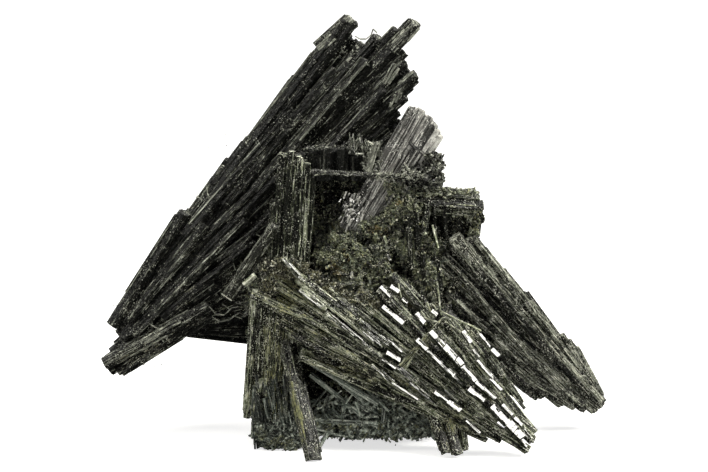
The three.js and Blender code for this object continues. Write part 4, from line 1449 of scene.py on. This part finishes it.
# Its rows are painted darker on the left, which turns away from the light, and lighter on the right: painted
# shade.
for place in (0, 0.5, 1, 1.5, 2, 2.5, 3):
    start, end, wide = spray_span(GREY_BLADE, place, -0.2)
    parts = [(0, CRACK[0]), (CRACK[1], 1)] if place >= 1.5 else [(0, 1)]
    for first, last in parts:
        low, high = part_of(start, end, first, last)
        blade.append(crystal(BROAD, luck, low, high, wide * 1.15, roll=0, flat=0.6, shade=0.22 + 0.2 * place))
# A black prism fills the crack: painted shade in it.
crack_ends = []
for place in (1.4, 3):
    start, end, _ = spray_span(GREY_BLADE, place, -1, 0.2)
    crack_ends.append(part_of(start, end, *CRACK)[0])
blade.append(crystal(SLIM, luck, *crack_ends, 0.5, shade=0, dust=-1))
for _ in range(BLADE_RODS):
    place = 0.2 + 2.8 * luck.random() ** 1.5
    start, end, wide = spray_span(GREY_BLADE, place, -1, luck.uniform(-0.25, 0.15))
    first = luck.random() * 0.7
    last = min(first + luck.uniform(0.1, 0.6), 1)
    if place > 1.5 and first < CRACK[0] < last:
        last = CRACK[0]
    start, end = part_of(start, end, first, last)
    # Darker towards the left, the same painted shade as the rows.
    shade = luck.choice((0.0, 0.0, 0.5, 0.8)) * (0.6 + place / 6)
    blade.append(crystal(SLIM, luck, start, end, luck.uniform(0.2, 0.6), shade=shade))
blade += dressed_spray({**GREY_BLADE, "root": (-4, 0.8), "end": (-3.4, 0.9)}, luck, ribs=3, between=1)
# Broken facets at its foot, black and near-white: the white ones are a painted glitter. Small mirror faces
# among them catch the lamp.
for _ in range(BLADE_PAINTED_GLITTER):
    across, up = luck.normal((-0.6, 45.8), (0.9, 1.4))
    start, end = at(across, up, -6.6), at(across + 0.5, up + luck.uniform(0.4, 1.4), luck.uniform(-7.2, -6.6))
    width, shade = luck.uniform(0.2, 0.5), luck.choice((0, 0, 0.8, 1, 1))
    blade.append(crystal(SLIM, luck, start, end, width, shade=shade))
for _ in range(BLADE_MIRRORS):
    across, up = luck.normal((-0.6, 46), (0.9, 1.4))
    start, end = at(across, up, -7), at(across + 0.5, up + luck.uniform(0.6, 1.6), -7)
    blade += mirror_faces(luck, start, end, luck.uniform(0.4, 0.8), 0.9)
finish_bundle("blade_crystals", blade, SATIN_GREY, "grey_tourmaline", "grey_blade")
# Druse has grown over the right of its foot.
BLADE_DRUSE = [
    (7.6, 50.2, 1.4, 130),
    (9.6, 49, 2, 180),
    (8.8, 46.6, 2, 190),
    (6.8, 44.8, 2, 190),
    (4.6, 43.2, 1.8, 160),
    (2.2, 42, 1.6, 120),
    (11.2, 46.4, 2, 180),
]


def before_blade(across, up, forward):
    return at(across, up, -6.7 - forward)


finish_bundle("blade_druse", druse_lumps(luck, BLADE_DRUSE, before_blade), DRUSE, "druse")

# ---------------------------------------------------------------- single crystals
# Three prisms that stand alone: one leans out at the column's foot, a thin one lies across the middle,
# and a short one leans at the left of the column.

# Each: across, up and depth of its lower or left end and of its other end, and its width.
FOOT_CRYSTAL = ((-8, -3.8, -19.4), (-13.6, 19.4, -7.4), 3.9)
CROSS_NEEDLE = ((-8.6, 53.6, -8), (14.8, 52.2, -7.6), 1.3)
LEANING_PRISM = ((-25.4, 28.6, -4), (-15.6, 42.8, -6.6), 3.0)

luck = np.random.default_rng(71)
FOOT_DUST = [(-10.8, 4.2, 1.3, 0.8), (-12, 8, 1.2, 0.7), (-12.6, 11, 1.2, 0.6)]
for name, (low, high, wide), shade, node, slot, material in (
    ("foot_prism", FOOT_CRYSTAL, 0.03, "foot_crystal", "dusted_tourmaline", DUSTED_SCHORL),
    ("cross_prism", CROSS_NEEDLE, 0.1, "cross_needle", "grey_black_tourmaline", BLOOMED_SCHORL),
    ("leaning_single", LEANING_PRISM, 0.3, "leaning_prism", "grey_black_tourmaline", BLOOMED_SCHORL),
):
    dusty, ribs = (0.05, 2.5) if name == "foot_prism" else (-0.15, 4.0)
    narrow_first = roll_to(at(*low), at(*high), TOWARDS_FRONT) + math.radians(60)
    main = crystal(BROAD, luck, at(*low), at(*high), wide, roll=narrow_first, shade=shade, dust=dusty)
    single = [main, *ribs_on(main, luck, ribs, dusty)]
    single += specks_on(single, luck, count=90, light=0.9)
    if name == "cross_prism":
        single += fibres(luck, 30, (-8, 52.8, -9), (5, 53.8, -7.8), (1, -0.1, 0.2), 0.3, (0.4, 1.4),
                         (0.15, 0.35), (0.3, 0.8))
        # Its light top edge is a painted highlight.
        single += edge_highlight(main, luck, np.array([0, -0.4, 0.9]), 5, 0.6)
    if name == "leaning_single":
        # Its lit left edge and the edge of its lower end are painted light: a painted highlight.
        single += edge_highlight(main, luck, UPPER_LEFT, 8, 0.9)
        single.append(crystal(NEEDLE, luck, at(-26.5, 29.3, -5.2), at(-24.4, 27.9, -5.4), 0.3, shade=0.9))
        single += fibres(luck, 180, (4, 52, -9), (14, 53.4, -7.6), (1, -0.2, 0.2), 0.9, (0.3, 1.1),
                         (0.15, 0.4), (0.2, 0.8))
    finish_bundle(name, single, material, slot, node, spots=FOOT_DUST if name == "foot_prism" else ())

# ---------------------------------------------------------------- the table, the lights and the camera
# A white studio table that runs on behind the cluster, and soft light from above and from the right.

VIEW_ACROSS = 141.6 * MM  # how much of the cluster's plane the camera takes in, from side to side
SENSOR = 36.0  # mm
LENS = 400.0  # mm, so long that the cluster is seen almost without perspective
FLOOR_HALF = 4  # m
GLOW = 0.7
LAMP_POWER = 4  # W for each square metre of a lamp and unit of its brightness
LOOK_AT = Vector(at(0, 40.8, 0)) * MM
TO_CAMERA = Vector(TOWARDS_FRONT)
VIEW_UP = Vector((0, math.sin(LEAN), math.cos(LEAN)))
VIEW_RIGHT = Vector((1, 0, 0))

camera_data = bpy.data.cameras.new("camera")
camera_data.lens = LENS
camera_data.sensor_width = SENSOR
camera = bpy.data.objects.new("camera", camera_data)
bpy.context.scene.collection.objects.link(camera)
camera.location = LOOK_AT + TO_CAMERA * (VIEW_ACROSS * LENS / SENSOR)
camera.rotation_euler = (math.radians(90) - LEAN, 0, 0)
camera_data.clip_start = 0.05
bpy.context.scene.camera = camera

bm = bmesh.new()
bmesh.ops.create_grid(bm, x_segments=1, y_segments=1, size=FLOOR_HALF)
floor_mesh = bpy.data.meshes.new("table")
bm.to_mesh(floor_mesh)
bm.free()
paper, paper_tree, paper_shader = new_material("white matt card")
paper_shader.inputs["Roughness"].default_value = 0.9
# The card glows a little where it is seen, so that it shows as white as in a studio with no horizon. The
# crystals mirror it darker than that, as between black flags.
rays = add(paper_tree, "ShaderNodeLightPath", {})
shown = add(paper_tree, "ShaderNodeMix", COLOURS, _0=rays.outputs["Is Glossy Ray"], _6=linear("#d4d4d4"),
            _7=linear("#303030"))
paper_tree.links.new(shown.outputs[2], paper_shader.inputs["Base Color"])
paper_shader.inputs["Emission Color"].default_value = linear("#ffffff")
glow = add(paper_tree, "ShaderNodeMath", PRODUCT, _0=rays.outputs["Is Camera Ray"], _1=GLOW)
paper_tree.links.new(glow.outputs[0], paper_shader.inputs["Emission Strength"])
new_piece("table", floor_mesh, paper)


def softbox(name, right, up, front, size, radiance, away=0.6):
    """A lamp aimed at the cluster. Its direction is given as shares to the right, up and front."""
    direction = (VIEW_RIGHT * right + VIEW_UP * up + TO_CAMERA * front).normalized()
    lamp_data = bpy.data.lights.new(name, "AREA")
    lamp_data.shape = "RECTANGLE"
    lamp_data.size, lamp_data.size_y = size
    lamp_data.energy = radiance * LAMP_POWER * size[0] * size[1]
    lamp_data.color = linear("#fffdf4")[:3]
    lamp = bpy.data.objects.new(name, lamp_data)
    bpy.context.scene.collection.objects.link(lamp)
    lamp.location = LOOK_AT + direction * away
    lamp.rotation_euler = (-direction).to_track_quat("-Z", "Y").to_euler()
    lamp.visible_camera = False


softbox("key", right=0.66, up=0.6, front=0.42, size=(0.24, 0.24), radiance=18)
softbox("left_window", right=-0.75, up=0.55, front=0.5, size=(0.16, 0.3), radiance=7)
softbox("overhead", right=0.0, up=1, front=0.3, size=(0.5, 0.3), radiance=6)

world = bpy.data.worlds.new("studio")
bpy.context.scene.world = world
world.use_nodes = True
sky = world.node_tree.nodes["Background"]
rays = add(world.node_tree, "ShaderNodeLightPath", {})
around = add(world.node_tree, "ShaderNodeTexCoord", {})
around = add(world.node_tree, "ShaderNodeSeparateXYZ", {}, Vector=around.outputs["Generated"])
# The room is white to the camera and dim to the cluster, and its glossy faces mirror black flags in front
# and the card behind.
card = add(world.node_tree, "ShaderNodeMapRange", {}, Value=around.outputs["Y"], From_Min=0.0, From_Max=0.7,
           To_Min=0.0, To_Max=0.35)
bright = add(world.node_tree, "ShaderNodeMix", NUMBERS, _0=rays.outputs["Is Camera Ray"],
             _2=0.2, _3=1.1)
bright = add(world.node_tree, "ShaderNodeMix", NUMBERS, _0=rays.outputs["Is Glossy Ray"],
             _2=bright.outputs[0], _3=card.outputs[0])
world.node_tree.links.new(bright.outputs[0], sky.inputs["Strength"])
sky.inputs["Color"].default_value = linear("#ffffff")
bpy.context.scene.view_settings.view_transform = "Standard"
